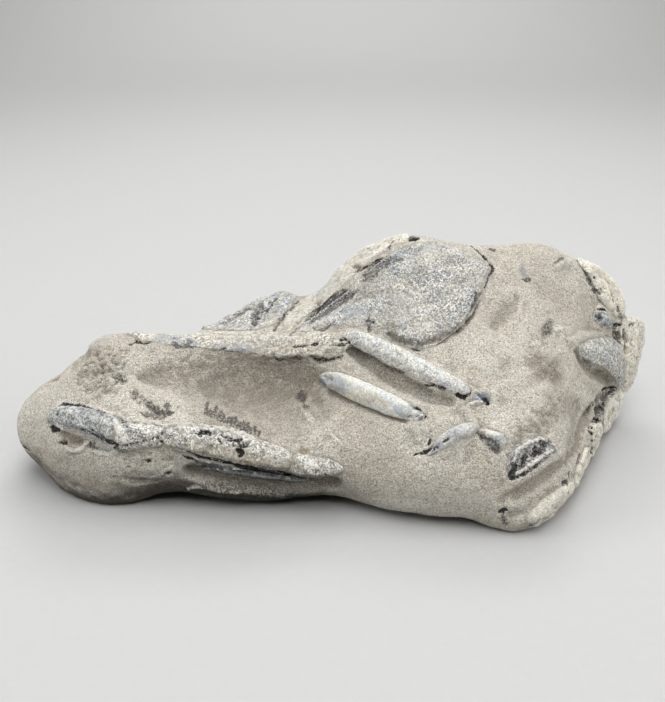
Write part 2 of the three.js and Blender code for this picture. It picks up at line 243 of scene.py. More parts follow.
@dataclass
class Relief:
    """The bare outer surface of the whole specimen, on which the marks' points are found.

    Args:
        tree: The search tree of that surface.
        step: Distance between the points of a stroke once it hugs the surface.
        above: How far out of the face each point starts its way down to the surface.
        traces: The strokes that are laid already.
    """

    tree: BVHTree
    step: float = 1.5
    above: float = 300.0
    traces: dict[Mark, np.ndarray] = field(default_factory=dict)

    def trace(self, mark: Mark) -> np.ndarray:
        """Lays a mark's path on the surface, once.

        Args:
            mark: The mark.

        Returns:
            Points in space, one a row, in the path's order.
        """
        if mark in self.traces:
            return self.traces[mark]
        right, up, out = mark.face.axes()
        flat = [np.array(mark.path[0])]
        for start, end in zip(mark.path, mark.path[1:]):
            cuts = max(1, math.ceil(math.dist(start, end) / self.step))
            flat += [np.array(start) + (np.array(end) - start) * (cut + 1) / cuts for cut in range(cuts)]
        found = []
        for across, along in flat:
            eye = DATUM + right * across + up * along + out * self.above
            spot = self.tree.ray_cast(Vector(eye), Vector(-out))[0]
            if spot is not None:
                found.append(np.array(spot))
        self.traces[mark] = np.array(found).reshape(-1, 3)
        return self.traces[mark]


def nearest_on_line(points: np.ndarray, line: np.ndarray, out: np.ndarray) -> tuple[np.ndarray, np.ndarray]:
    """Measures points against a line in space, counting less of what lies straight out of the face.

    Args:
        points: The points, one a row.
        line: The line's own points, in order.
        out: The direction out of the face.

    Returns:
        For each point: its distance, and how far along the line it lies, from 0 to 1.
    """
    if len(line) == 1:
        return np.linalg.norm(points - line[0], axis=1), np.full(len(points), 0.5)
    best = np.full(len(points), np.inf)
    share = np.zeros(len(points))
    for number, (start, end) in enumerate(zip(line, line[1:])):
        span = end - start
        place = np.clip(((points - start) @ span) / max(span @ span, 1e-12), 0.0, 1.0)
        away = points - (start + place[:, None] * span)
        away = away - (DEPTH_EASE * (away @ out))[:, None] * out
        gap = np.linalg.norm(away, axis=1)
        closer = gap < best
        best = np.where(closer, gap, best)
        share = np.where(closer, (number + place) / (len(line) - 1), share)
    return best, share


def inside_outline(spots: np.ndarray, outline: np.ndarray) -> np.ndarray:
    """Measures places on a face against a closed outline.

    Args:
        spots: The places, one a row.
        outline: The outline's corners, in order.

    Returns:
        For each place, its distance from the outline, above zero inside it.
    """
    best = np.full(len(spots), np.inf)
    inside = np.zeros(len(spots), bool)
    for start, end in zip(outline, np.roll(outline, -1, axis=0)):
        span = end - start
        place = np.clip(((spots - start) @ span) / (span @ span), 0.0, 1.0)
        best = np.minimum(best, np.linalg.norm(spots - (start + place[:, None] * span), axis=1))
        level = (start[1] > spots[:, 1]) != (end[1] > spots[:, 1])
        crossing = start[0] + (spots[:, 1] - start[1]) * span[0] / (span[1] if span[1] else 1e-9)
        inside ^= level & (spots[:, 0] < crossing)
    return np.where(inside, best, -best)


class Skin:
    """A closed surface under work. Its points are in millimetres."""

    def __init__(self, name: str, mesh: bpy.types.Mesh, layer: Layer) -> None:
        """Takes a mesh over.

        Args:
            name: The name of the piece that it becomes.
            mesh: The mesh, in millimetres.
            layer: Whether it is stone or shell.
        """
        self.name = name
        self.mesh = mesh
        self.layer = layer
        self.read()

    def read(self) -> None:
        """Reads points and edges back from the mesh."""
        count = len(self.mesh.vertices)
        self.points = np.empty(count * 3)
        self.mesh.vertices.foreach_get("co", self.points)
        self.points = self.points.reshape(-1, 3)
        self.edges = np.empty(len(self.mesh.edges) * 2, int)
        self.mesh.edges.foreach_get("vertices", self.edges)
        self.edges = self.edges.reshape(-1, 2)
        self.degree = np.maximum(np.bincount(self.edges.ravel(), minlength=count), 1)
        self.tints = {tint: self.taken(tint.value) for tint in Tint}

    def taken(self, name: str) -> np.ndarray:
        """Takes one number a point back out of the mesh, or zeros where it keeps none.

        Args:
            name: The number's name.

        Returns:
            The numbers.
        """
        values = np.zeros(len(self.mesh.vertices))
        held = self.mesh.attributes.get(name)
        if held is not None:
            held.data.foreach_get("value", values)
            self.mesh.attributes.remove(held)
        return values

    def write(self) -> None:
        """Puts the worked points into the mesh."""
        self.mesh.vertices.foreach_set("co", self.points.ravel())
        self.mesh.update()

    def normals(self) -> np.ndarray:
        """Measures which way the surface looks.

        Returns:
            For each point, the unit vector out of the surface.
        """
        self.write()
        found = np.empty(len(self.points) * 3)
        self.mesh.vertex_normals.foreach_get("vector", found)
        return found.reshape(-1, 3)

    def averaged(self, values: np.ndarray) -> np.ndarray:
        """Replaces each point's value with the mean of its neighbours'.

        Args:
            values: One number or one row of numbers a point.

        Returns:
            The means, in the same form.
        """
        first, second = self.edges.T
        count = len(self.points)
        columns = values.reshape(count, -1).T
        sums = [
            np.bincount(first, column[second], count) + np.bincount(second, column[first], count)
            for column in columns
        ]
        return (np.array(sums) / self.degree).T.reshape(values.shape)

    def smooth(self, rounds: int, share: float | np.ndarray = 0.5) -> None:
        """Moves each point its share of the way to its neighbours' mean, for so many rounds."""
        for _ in range(rounds):
            self.points += (self.averaged(self.points) - self.points) * share

    def hollows(self, rounds: int) -> np.ndarray:
        """Measures how deep each point lies under its surroundings.

        Args:
            rounds: How wide those surroundings are, in rounds of averaging.

        Returns:
            A depth in millimetres, below zero on a ridge.
        """
        mean = self.points
        for _ in range(rounds):
            mean = self.averaged(mean)
        return ((mean - self.points) * self.normals()).sum(axis=1)

    def tree(self) -> BVHTree:
        """Builds the search tree of the surface."""
        faces = [tuple(face.vertices) for face in self.mesh.polygons]
        return BVHTree.FromPolygons(self.points.tolist(), faces)

    def closeness(self, other: BVHTree, box: tuple[np.ndarray, np.ndarray], reach: float) -> np.ndarray:
        """Measures how near each point is to another surface.

        Args:
            other: The search tree of that surface.
            box: Its lowest and highest corners.
            reach: The distance at which nearness ends.

        Returns:
            1 at or inside the other surface, falling to 0 at that distance.
        """
        near = np.zeros(len(self.points))
        inside = ((self.points > box[0] - reach) & (self.points < box[1] + reach)).all(axis=1)
        for number in np.flatnonzero(inside):
            point = Vector(self.points[number])
            spot, normal, _, gap = other.find_nearest(point, reach)
            if spot is not None:
                near[number] = 1 - gap / reach if (point - spot).dot(normal) > 0 else 1.0
        return near

    def box(self) -> tuple[np.ndarray, np.ndarray]:
        """Gives the surface's lowest and highest corners."""
        return self.points.min(axis=0), self.points.max(axis=0)

    def looking(self, face: Face, least: float) -> np.ndarray:
        """Tells of each point whether it looks at a face at least so squarely, as a cosine."""
        return self.normals() @ face.axes()[2] > least

    def lined(self, marks: list[Mark], relief: Relief, widest: float) -> np.ndarray:
        """Finds the points that lie under narrow strokes.

        Args:
            marks: The marks.
            relief: The surface that their points are found on.
            widest: The greatest reach of a stroke that counts as narrow.

        Returns:
            True for each such point.
        """
        found = np.zeros(len(self.points), bool)
        for mark in marks:
            line = relief.trace(mark)
            if mark.reach > widest or mark.shape is Shape.PATCH or not len(line):
                continue
            width = mark.reach + mark.ragged * 0.5
            margin = width * (1 + np.abs(mark.face.axes()[2]))
            low, high = line.min(axis=0) - margin, line.max(axis=0) + margin
            near = np.flatnonzero(((self.points > low) & (self.points < high)).all(axis=1))
            if len(near):
                gap = nearest_on_line(self.points[near], line, mark.face.axes()[2])[0]
                found[near[gap < width]] = True
        return found

    def refine(self, points: np.ndarray) -> None:
        """Halves the edges of the polygons all of whose corners are chosen.

        Args:
            points: True for each chosen point.
        """
        self.write()
        for tint, values in self.tints.items():
            self.attribute(tint.value, values)
        work = bmesh.new()
        work.from_mesh(self.mesh)
        chosen = set()
        for polygon in work.faces:
            if all(points[corner.index] for corner in polygon.verts):
                chosen.update(polygon.edges)
        bmesh.ops.subdivide_edges(work, edges=sorted(chosen, key=lambda edge: edge.index), cuts=1,
                                  use_grid_fill=True)
        bmesh.ops.triangulate(work, faces=[polygon for polygon in work.faces if len(polygon.verts) > 4])
        work.to_mesh(self.mesh)
        work.free()
        self.read()

    def carve(self, marks: list[Mark], relief: Relief, noise: Noise) -> None:
        """Cuts, raises and tints the surface under marks.

        Args:
            marks: The marks, in order.
            relief: The surface that their points are found on.
            noise: What makes their edges wander.
        """
        normals = self.normals()
        for mark in marks:
            if mark.layer in (Layer.BOTH, self.layer):
                self.carve_one(mark, relief, noise, normals)

    def carve_one(self, mark: Mark, relief: Relief, noise: Noise, normals: np.ndarray) -> None:
        """Cuts, raises and tints the surface under one mark.

        Args:
            mark: The mark.
            relief: The surface that its points are found on.
            noise: What makes its edge wander.
            normals: The way out of the surface at each point.
        """
        right, up, out = mark.face.axes()
        line = relief.trace(mark)
        if not len(line):
            return
        margin = (mark.reach + mark.ragged) * (1 + np.abs(out))
        low, high = line.min(axis=0) - margin, line.max(axis=0) + margin
        if mark.shape is Shape.PATCH:
            low, high = low - PATCH_DEPTH, high + PATCH_DEPTH
        near = np.flatnonzero(((self.points > low) & (self.points < high)).all(axis=1))
        if not len(near):
            return
        spots = self.points[near]
        normals = normals[near]
        wander = noise.layered(spots, WANDER_SIZE, 2) * mark.ragged
        if mark.shape is Shape.PATCH:
            flat = np.stack([(spots - DATUM) @ right, (spots - DATUM) @ up], axis=1)
            inner = inside_outline(flat, np.array(mark.path)) + wander
            weight = eased(inner, -mark.reach, mark.reach)
            ramp = np.clip(0.5 + inner / (2 * mark.reach), 0.0, 1.0)
        else:
            gap, share = nearest_on_line(spots, line, out)
            reach = mark.reach * (1 - mark.taper * np.abs(2 * share - 1) ** 3)
            away = np.maximum(gap + wander, 0.0) / reach
            weight = np.clip(1 - away**2, 0.0, 1.0) ** 2
            ramp = np.clip(1.4 * (1 - away), 0.0, 1.0)
        facing = eased(normals @ out, TURNED_AWAY, FACING)
        weight = weight * facing
        height = mark.lift + mark.rough * noise.layered(spots, mark.lump, 3)
        self.points[near] = spots + normals * (weight * height)[:, None]
        if mark.tint is not None:
            held = self.tints[mark.tint]
            held[near] = np.maximum(held[near], ramp * facing * mark.strength)

    def roughen(self, noise: Noise, size: float, height: float, layers: int = 2) -> None:
        """Adds random swells, the widest of this size and height, and the rest of its layers finer."""
        amount = noise.layered(self.points, size, layers) * height
        self.points = self.points + self.normals() * amount[:, None]

    def pit(self, noise: Noise, size: float, depth: float, share: float) -> None:
        """Sinks pits where a relief of this size peaks, and leaves a share of the surface whole."""
        peaks = eased(noise.at(self.points, size), share, share + PIT_WALL)
        self.points = self.points - self.normals() * (peaks * depth)[:, None]

    def attribute(self, name: str, values: np.ndarray) -> None:
        """Keeps one number a point in the mesh, for the finish to read."""
        held = self.mesh.attributes.new(name, "FLOAT", "POINT")
        held.data.foreach_set("value", values.astype(np.float32))

    def hand_over(self, node: str, slot: str, material: bpy.types.Material) -> None:
        """Makes the finished piece, in metres, and lets it stand for its CAD node.

        Args:
            node: The CAD node that it replaces.
            slot: The record's material slot; not used.
            material: Its finish.
        """
        for tint, values in self.tints.items():
            self.attribute(tint.value, values)
        # The hollows' depth sets their painted shade and the ridges' painted highlight.
        self.attribute("hollow", np.clip(self.hollows(HOLLOW_ROUNDS) / HOLLOW_DEPTH, -1.0, 1.0))
        # Painted shade: points low on the narrow end that look downwards are darkened later, by how far they
        # look down.
        low = eased(PAINTED_SHADE_TOP - self.points[:, 2], 0.0, PAINTED_SHADE_DEPTH)
        low = low * (1 - eased(self.points[:, 0], *PAINTED_SHADE_FADE))
        self.attribute("under", eased(-self.normals()[:, 2], *PAINTED_SHADE_LOOK) * low)
        self.points = self.points * MM
        self.write()
        self.mesh.polygons.foreach_set("use_smooth", [True] * len(self.mesh.polygons))
        self.mesh.materials.clear()
        self.mesh.materials.append(material)
        piece = bpy.data.objects.new(self.name, self.mesh)
        bpy.context.scene.collection.objects.link(piece)
        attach(piece, "root")
        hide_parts(node)
        LOG.info("%s: %d points", self.name, len(self.points))


def solid_points(node: str, swell: float) -> tuple[list[Vector], list[list[int]]]:
    """Reads a CAD node as one solid, a little swollen.

    Args:
        node: The node's name.
        swell: How far its surface moves outwards, in millimetres.

    Returns:
        Its points in millimetres, and its polygons as point numbers.
    """
    work = bmesh.new()
    work.from_mesh(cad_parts[node].data)
    bmesh.ops.scale(work, vec=(1 / MM,) * 3, verts=work.verts)
    bmesh.ops.remove_doubles(work, verts=work.verts, dist=WELD)
    work.normal_update()
    points = [vertex.co + vertex.normal * swell for vertex in work.verts]
    polygons = [[vertex.index for vertex in polygon.verts] for polygon in work.faces]
    work.free()
    return points, polygons


def cast_skin(name: str, nodes: dict[str, float], voxel: float, layer: Layer) -> Skin:
    """Joins CAD nodes into one even, closed skin.

    Args:
        name: The skin's name.
        nodes: Each node's name, and how far it is swollen first.
        voxel: Width of the new polygons in millimetres.
        layer: Whether it is stone or shell.

    Returns:
        The skin.
    """
    points: list[Vector] = []
    polygons: list[list[int]] = []
    for node, swell in nodes.items():
        more_points, more_polygons = solid_points(node, swell)
        polygons += [[number + len(points) for number in polygon] for polygon in more_polygons]
        points += more_points
    rough = bpy.data.meshes.new(name + "_rough")
    rough.from_pydata(points, [], polygons)
    holder = bpy.data.objects.new(name + "_rough", rough)
    bpy.context.scene.collection.objects.link(holder)
    remesh = holder.modifiers.new("cast", "REMESH")
    remesh.mode = "VOXEL"
    remesh.voxel_size = voxel
    remesh.adaptivity = 0.0
    evaluated = holder.evaluated_get(bpy.context.evaluated_depsgraph_get())
    mesh = bpy.data.meshes.new_from_object(evaluated)
    mesh.name = name
    bpy.data.objects.remove(holder)
    bpy.data.meshes.remove(rough)
    return Skin(name, mesh, layer)


class Socket:
    """A node's output that takes part in Python arithmetic. Each operator adds a Math node."""

    def __init__(self, graph: Graph, output: bpy.types.NodeSocket) -> None:
        """Wraps an output of one of a graph's nodes."""
        self.graph = graph
        self.output = output

    def math(self, operation: str, other: Socket | float) -> Socket:
        """Adds a Math node with this output first."""
        return self.graph.node("ShaderNodeMath", {"operation": operation}, {0: self, 1: other})

    def __add__(self, other: Socket | float) -> Socket:
        """Adds."""
        return self.math("ADD", other)

    __radd__ = __add__

    def __mul__(self, other: Socket | float) -> Socket:
        """Multiplies."""
        return self.math("MULTIPLY", other)

    __rmul__ = __mul__

    def __sub__(self, other: Socket | float) -> Socket:
        """Subtracts."""
        return self.math("SUBTRACT", other)

    def __rsub__(self, other: float) -> Socket:
        """Subtracts from a number."""
        return self.graph.node("ShaderNodeMath", {"operation": "SUBTRACT"}, {0: other, 1: self})

    def eased(self, low: float, high: float) -> Socket:
        """Goes smoothly from 0 to 1 while this goes from low to high."""
        settings = {"interpolation_type": "SMOOTHSTEP"}
        return self.graph.node("ShaderNodeMapRange", settings, {0: self, 1: low, 2: high, 3: 0.0, 4: 1.0})


class Graph:
    """The node tree of one material."""

    def __init__(self, name: str, roughness: float, specular: float) -> None:
        """Makes the material with its shader.

        Args:
            name: The material's name.
            roughness: The shader's own roughness.
            specular: The shader's own specular level.
        """
        self.material = bpy.data.materials.new(name)
        self.material.use_nodes = True
        self.tree = self.material.node_tree
        self.tree.nodes.clear()
        self.shader = self.tree.nodes.new("ShaderNodeBsdfPrincipled")
        self.shader.inputs["Roughness"].default_value = roughness
        self.shader.inputs["Specular IOR Level"].default_value = specular
        output = self.tree.nodes.new("ShaderNodeOutputMaterial")
        self.tree.links.new(self.shader.outputs[0], output.inputs[0])
        self.place = self.node("ShaderNodeTexCoord", {}, {}, "Object")

    def node(self, kind: str, settings: dict, inputs: dict, output: int | str = 0) -> Socket:
        """Adds any node.

        Args:
            kind: The node's type.
            settings: Its own settings, which are set first.
            inputs: What its sockets hold or are linked to.
            output: The output that is wanted.

        Returns:
            That output.
        """
        made = self.tree.nodes.new(kind)
        for name, value in settings.items():
            setattr(made, name, value)
        for name, value in inputs.items():
            if isinstance(value, Socket):
                self.tree.links.new(value.output, made.inputs[name])
            else:
                made.inputs[name].default_value = value
        return Socket(self, made.outputs[output])

    def held(self, name: str) -> Socket:
        """Reads a number that the mesh keeps for each point."""
        return self.node("ShaderNodeAttribute", {"attribute_name": name}, {}, "Fac")

    def moved(self, shift: float) -> Socket:
        """Gives each place on the piece, moved by so many millimetres along every axis."""
        return self.node("ShaderNodeVectorMath", {"operation": "ADD"}, {0: self.place, 1: (shift * MM,) * 3})

    def noise(self, size: float, detail: float = 2.0, rough: float = 0.5, shift: float = 0.0) -> Socket:
        """Adds a cloud of random values.

        Args:
            size: Width of one swell in millimetres.
            detail: How many finer sizes are added.
            rough: How strong those are.
            shift: Moves the cloud, in millimetres, so that two of one size differ.

        Returns:
            A value from 0 to 1.
        """
        place = self.moved(shift) if shift else self.place
        inputs = {"Vector": place, "Scale": 1 / (size * MM), "Detail": detail, "Roughness": rough}
        return self.node("ShaderNodeTexNoise", {}, inputs, "Fac")

    def cells(self, size: float) -> Socket:
        """Adds rounded cells: the distance from each place to the nearest centre, in cell widths."""
        inputs = {"Vector": self.place, "Scale": 1 / (size * MM)}
        return self.node("ShaderNodeTexVoronoi", {"feature": "F1"}, inputs, "Distance")

    def cracks(self, size: float, bend: float = 0.6) -> Socket:
        """Adds lumps with cracks between them.

        Args:
            size: Width of a lump in millimetres.
            bend: How far the cracks wander, in lump widths.

        Returns:
            The distance to the nearest crack, in lump widths: 0 in a crack, about 0.4 on a lump.
        """
        inputs = {"Vector": self.place, "Scale": 1.6 / (size * MM), "Detail": 2.0}
        wander = self.node("ShaderNodeTexNoise", {}, inputs, "Color")
        spread = (size * bend * MM,) * 3
        bent = self.node("ShaderNodeVectorMath", {"operation": "MULTIPLY_ADD"},
                         {0: wander, 1: spread, 2: self.place})
        return self.node("ShaderNodeTexVoronoi", {"feature": "DISTANCE_TO_EDGE"},
                         {"Vector": bent, "Scale": 1 / (size * MM)}, "Distance")

    def grains(self, size: float, shift: float = 0.0) -> Socket:
        """Adds grains of a width in millimetres, each of one random value from 0 to 1."""
        inputs = {"Vector": self.moved(shift), "Scale": 1 / (size * MM)}
        return self.node("ShaderNodeTexVoronoi", {"feature": "F1"}, inputs, "Color")

    def mix(self, mask: Socket | float, under: Socket | Colour, over: Socket | Colour,
            blend: str = "MIX") -> Socket:
        """Lays one colour over another.

        Args:
            mask: Where the upper colour shows, from 0 to 1.
            under: The lower colour.
            over: The upper colour.
            blend: How they meet.

        Returns:
            The mixed colour.
        """
        settings = {"data_type": "RGBA", "blend_type": blend}
        inputs = {0: mask, 6: self.painted(under), 7: self.painted(over)}
        return self.node("ShaderNodeMix", settings, inputs, 2)

    @staticmethod
    def painted(colour: Socket | Colour) -> Socket | tuple[float, ...]:
        """Adds the fourth number that a colour socket wants."""
        return colour if isinstance(colour, Socket) else (*colour, 1.0)

    def grey(self, value: Socket) -> Socket:
        """Makes a grey colour of a value, for multiplying a colour by it."""
        return self.node("ShaderNodeCombineColor", {}, {0: value, 1: value, 2: value})

    def finish(self, colour: Socket, height: Socket, depth: float) -> bpy.types.Material:
        """Feeds the shader.

        Args:
            colour: The base colour.
            height: The fine relief, from 0 to 1.
            depth: What 1 in it measures, in millimetres.

        Returns:
            The finished material.
        """
        bump = self.node("ShaderNodeBump", {}, {"Strength": 1.0, "Distance": depth * MM, "Height": height})
        self.tree.links.new(colour.output, self.shader.inputs["Base Color"])
        self.tree.links.new(bump.output, self.shader.inputs["Normal"])
        return self.material


@dataclass(frozen=True)
class Palette:
    """The colours that every surface of the specimen shares.

    Args:
        vein: The black of cracks and of the shell's edges.
        soot_and_shade: The grey of mineral smudges, and of painted shade under the legs, under the claw and
            under the side lobe.
        calcite: The white of crystal rims, and of the painted highlight on ridges.
        stain: The tan of iron stains.
        film: The blue-grey of the shell's thin film.
        earth_and_shade: The brown that lies in some hollows, also used for painted shade in hollows, in
            valleys and under the claw and side lobe.
        underside_shade: How much each of red, green and blue is left under the painted shade on the
            underside.
        dust: The stone's own colour, where it still clings to a fossil.
    """

    vein: Colour = (0.022, 0.022, 0.026)
    soot_and_shade: Colour = (0.085, 0.080, 0.078)
    calcite: Colour = (0.82, 0.80, 0.74)
    stain: Colour = (0.41, 0.32, 0.19)
    film: Colour = (0.33, 0.37, 0.42)
    earth_and_shade: Colour = (0.21, 0.18, 0.145)
    underside_shade: Colour = (0.13, 0.125, 0.115)
    dust: Colour = (0.56, 0.52, 0.44)


PALETTE = Palette()


def weathered(graph: Graph, colour: Socket, hollow_shade: float) -> Socket:
    """Adds to a colour what the marks and the weather left on it, with painted shade in hollows and on the
    underside and a painted highlight on ridges.

    Args:
        graph: The material's graph.
        colour: The clean colour.
        hollow_shade: How dark the painted shade in the hollows is, from 0 to 1.

    Returns:
        The weathered colour.
    """
    speckle = (graph.noise(0.45, 2.0, 0.6) - 0.5) * 1.3 + (graph.grains(0.32, 9.0) - 0.5) * 1.3
    cloud = graph.noise(2.2, 3.0, 0.6, 17.0) - 0.5
    hollow = graph.held("hollow")
    # This brown tint is partly brown ground and partly painted shade that the marks lay.
    colour = graph.mix(graph.held("earth_and_shade") * (0.85 + cloud * 0.8 + speckle * 0.6), colour, PALETTE.earth_and_shade)
    # Painted shade: hollows are darkened by their depth.
    colour = graph.mix((hollow + speckle * 0.15).eased(0.15, 1.1) * hollow_shade, colour, PALETTE.earth_and_shade)
    # Painted highlight: ridges are lightened with the calcite white.
    colour = graph.mix((0.0 - hollow).eased(0.1, 1.0) * 0.16, colour, PALETTE.calcite)
    stain = (graph.held("stain") * (1 + cloud * 3.0 + speckle)).eased(0.15, 0.95)
    colour = graph.mix(stain * 0.55, colour, PALETTE.stain)
    film = (graph.held("film") * (0.9 + cloud * 3.0 + speckle * 2.0)).eased(0.15, 1.1)
    colour = graph.mix(film * 0.62, colour, PALETTE.film)
    # This dark grey tint is partly mineral smudges and partly painted shade that the marks lay.
    soot_and_shade = (graph.held("soot_and_shade") * (1 + cloud * 1.4 + speckle * 1.3)).eased(0.16, 0.80)
    left = graph.grains(0.36, 33.0).eased(0.66, 0.74) * 0.4
    colour = graph.mix(soot_and_shade * (0.86 - left), colour, PALETTE.soot_and_shade)
    calcite = (graph.held("calcite") * (1 + cloud * 2.0 + speckle * 1.2)).eased(0.32, 0.62)
    colour = graph.mix(calcite * 0.85, colour, PALETTE.calcite)
    vein = (graph.held("vein") * (1 + cloud * 1.6 + speckle * 0.8)).eased(0.42, 0.66)
    colour = graph.mix(vein * 0.94, colour, PALETTE.vein)
    # Painted shade: the underside of the narrow end is multiplied darker.
    return graph.mix(graph.held("under") * 0.95, colour, PALETTE.underside_shade, "MULTIPLY")


@dataclass(frozen=True)
class SandstoneFinish:
    """Pale, matt, fine-grained sandstone.

    Args:
        pale: The colour of its clean swells.
        warm: The colour of its warmer patches.
        cool: The colour of its greyer patches.
        grain: Width of a sand grain in millimetres.
    """

    pale: Colour = (0.697, 0.653, 0.568)
    warm: Colour = (0.577, 0.528, 0.443)
    cool: Colour = (0.49, 0.475, 0.445)
    grain: float = 0.23

    def material(self) -> bpy.types.Material:
        """Builds the finish.

        Returns:
            Its material.
        """
        graph = Graph("sandstone", 0.94, 0.18)
        sand = graph.grains(self.grain).eased(0.15, 0.85)
        fine = graph.noise(self.grain * 3.2, 2.0, 0.6, 3.0)
        coarse = graph.noise(1.1, 2.0, 0.6, 5.0)
        colour = graph.mix(graph.noise(14.0, 4.0, 0.55).eased(0.36, 0.68), self.pale, self.warm)
        colour = graph.mix(graph.noise(4.5, 3.0, 0.6, 9.0).eased(0.44, 0.70) * 0.3, colour, self.cool)
        dome = 1 - graph.cells(self.grain * 1.5)
        bright = 0.18 + sand * 0.50 + dome * 0.72 + fine * 0.28 + coarse * 0.08
        colour = graph.mix(1.0, colour, graph.grey(bright), "MULTIPLY")
        # The stone is darkened towards each fossil's edge.
        rim = graph.held("rim") * (0.6 + graph.noise(1.6, 2.0, 0.6, 3.0) * 0.8)
        colour = graph.mix(rim.eased(0.15, 0.95) * 0.35, colour, PALETTE.earth_and_shade)
        colour = weathered(graph, colour, 0.38)
        height = dome * 0.5 + sand * 0.3 + fine * 1.6 + coarse * 0.9
        return graph.finish(colour, height, 0.46)


@dataclass(frozen=True)
class ShellFinish:
    """Fossil shell: two ground colours in clouds, with dark and pale stipples.

    Args:
        name: The material's name.
        light: The paler ground colour.
        cool: The bluer or darker ground colour.
        share: How much of the surface the cool colour takes, from 0 to 1.
        cloud: Width of the clouds in millimetres.
        stipple: Width of a stipple in millimetres.
        dark: How much of the surface the dark stipples take, from 0 to 1.
        depth: Height of the fine grain in millimetres.
        roughness: The shader's roughness.
        dusty: How much stone dust clings to its rim, from 0 to 1.
        deep: The colour of the dark stipples.
        crackle: How dark the cracks between its lumps are, from 0 to 1.
        lump: Width of those lumps in millimetres.
        grit: How strongly its grains differ from each other, from 0 to 1.
    """

    name: str
    light: Colour
    cool: Colour
    share: float = 0.5
    cloud: float = 7.0
    stipple: float = 0.8
    dark: float = 0.3
    depth: float = 0.12
    roughness: float = 0.78
    dusty: float = 0.5
    deep: Colour = (0.15, 0.16, 0.18)
    crackle: float = 0.2
    lump: float = 1.5
    grit: float = 0.9

    def material(self) -> bpy.types.Material:
        """Builds the finish.

        Returns:
            Its material.
        """
        graph = Graph(self.name, self.roughness, 0.3)
        cloud = graph.noise(self.cloud, 4.0, 0.6)
        patch = graph.noise(self.cloud * 0.35, 3.0, 0.6, 13.0)
        crystal = graph.grains(self.stipple)
        sand = graph.noise(0.40, 1.0, 0.6, 2.0)
        middle = 1.375 + (0.5 - self.share) * 0.5
        cool = (cloud * 1.6 + patch * 0.8 + crystal * 0.35).eased(middle - 0.30, middle + 0.30)
        colour = graph.mix(cool, self.light, self.cool)
        bright = 0.98 + (sand - 0.5) * 0.46 + (crystal.eased(0.15, 0.85) - 0.5) * (1.38 * self.grit)
        colour = graph.mix(1.0, colour, graph.grey(bright), "MULTIPLY")
        other = graph.grains(self.stipple * 1.3, 6.0)
        dusk = (other + patch * 0.9 + cloud * 0.7).eased(1.80 - self.dark, 2.00 - self.dark)
        colour = graph.mix(dusk * 0.62, colour, self.deep)
        pale = graph.grains(self.stipple * 1.15, 21.0).eased(0.80, 0.88)
        colour = graph.mix(pale * (0.5 * self.grit), colour, PALETTE.calcite)
        crack = 1 - (graph.cracks(self.lump, 1.4) + sand * 0.16).eased(0.07, 0.20)
        crack = crack * graph.noise(self.lump * 2.0, 2.0, 0.6, 27.0).eased(0.46, 0.66)
        colour = graph.mix(crack * self.crackle, colour, PALETTE.vein)
        dust = (graph.held("rim") * (0.5 + graph.noise(1.5, 2.0, 0.6, 8.0))).eased(0.25, 0.85)
        colour = graph.mix(dust * self.dusty, colour, PALETTE.dust)
        colour = weathered(graph, colour, 0.6)
        dome = 1 - graph.cells(self.stipple)
        height = dome * 0.6 + sand * 0.5 + patch * 0.8 - crack * (self.crackle * 1.6)
        return graph.finish(colour, height, self.depth)


@dataclass(frozen=True)
class Piece:
    """One fossil piece and how its skin is made.

    Args:
        node: Its CAD node, whose name it keeps with an ending.
        slot: The record's material slot.
        finish: Its finish.
        swell: How far its surface stands out from its solid, in millimetres.
        voxel: Width of its polygons.
        rounds: Rounds of smoothing.
        bumps: Height of its wide swells.
        bump_size: Width of those.
        grains: Height of its fine lumps.
        grain_size: Width of those.
        pits: Depth of its pits.
        proud: How far the stone is worn back below its surface.
        creep: How much of the stone still laps over its rim, from 0 to 1.
    """

    node: str
    slot: str
    finish: ShellFinish
    swell: float = 0.35
    voxel: float = 0.36
    rounds: int = 6
    bumps: float = 0.15
    bump_size: float = 4.0
    grains: float = 0.05
    grain_size: float = 0.9
    pits: float = 0.0
    proud: float = 0.45
    creep: float = 0.85

    def cast(self) -> Skin:
        """Casts its skin from its solid.

        Returns:
            The skin, smoothed.
        """
        skin = cast_skin(self.node + "_skin", {self.node: self.swell}, self.voxel, Layer.SHELL)
        skin.smooth(self.rounds)
        return skin


@dataclass
class SubAssembly:
    """Fossil pieces that belong together, with the marks that were left on and around them.

    Args:
        seed: Seed of their random relief.
        pit_spacing: Width of a pit with its surroundings, in grains.
        pit_free: How much of a pitted surface is left whole, from 0 to 1.
        rim_reach: How far from the stone a piece's rim reaches, in millimetres.
        skins: Their skins, once they are built.
    """

    seed: int = 1
    pit_spacing: float = 1.4
    pit_free: float = 0.25
    rim_reach: float = 0.9
    skins: dict[str, Skin] = field(default_factory=dict)

    def pieces(self) -> tuple[Piece, ...]:
        """Lists the pieces."""
        return ()

    def marks(self) -> tuple[Mark, ...]:
        """Lists the marks."""
        return ()

    def build(self) -> None:
        """Casts every piece's skin."""
        for piece in self.pieces():
            self.skins[piece.node] = piece.cast()

    def roughen(self) -> None:
        """Gives every piece its random relief."""
        noise = Noise(self.seed)
        for piece in self.pieces():
            skin = self.skins[piece.node]
            skin.roughen(noise, piece.bump_size, piece.bumps)
            skin.roughen(noise, piece.grain_size, piece.grains, 1)
            if piece.pits:
                skin.pit(noise, piece.grain_size * self.pit_spacing, piece.pits, self.pit_free)

    def find_rims(self, stone: Skin) -> None:
        """Notes where every piece meets the stone.

        Args:
            stone: The stone's skin.
        """
        tree = stone.tree()
        for skin in self.skins.values():
            skin.attribute("rim", skin.closeness(tree, stone.box(), self.rim_reach))

    def dress(self) -> None:
        """Finishes every piece."""
        for piece in self.pieces():
            self.skins[piece.node].hand_over(piece.node, piece.slot, piece.finish.material())


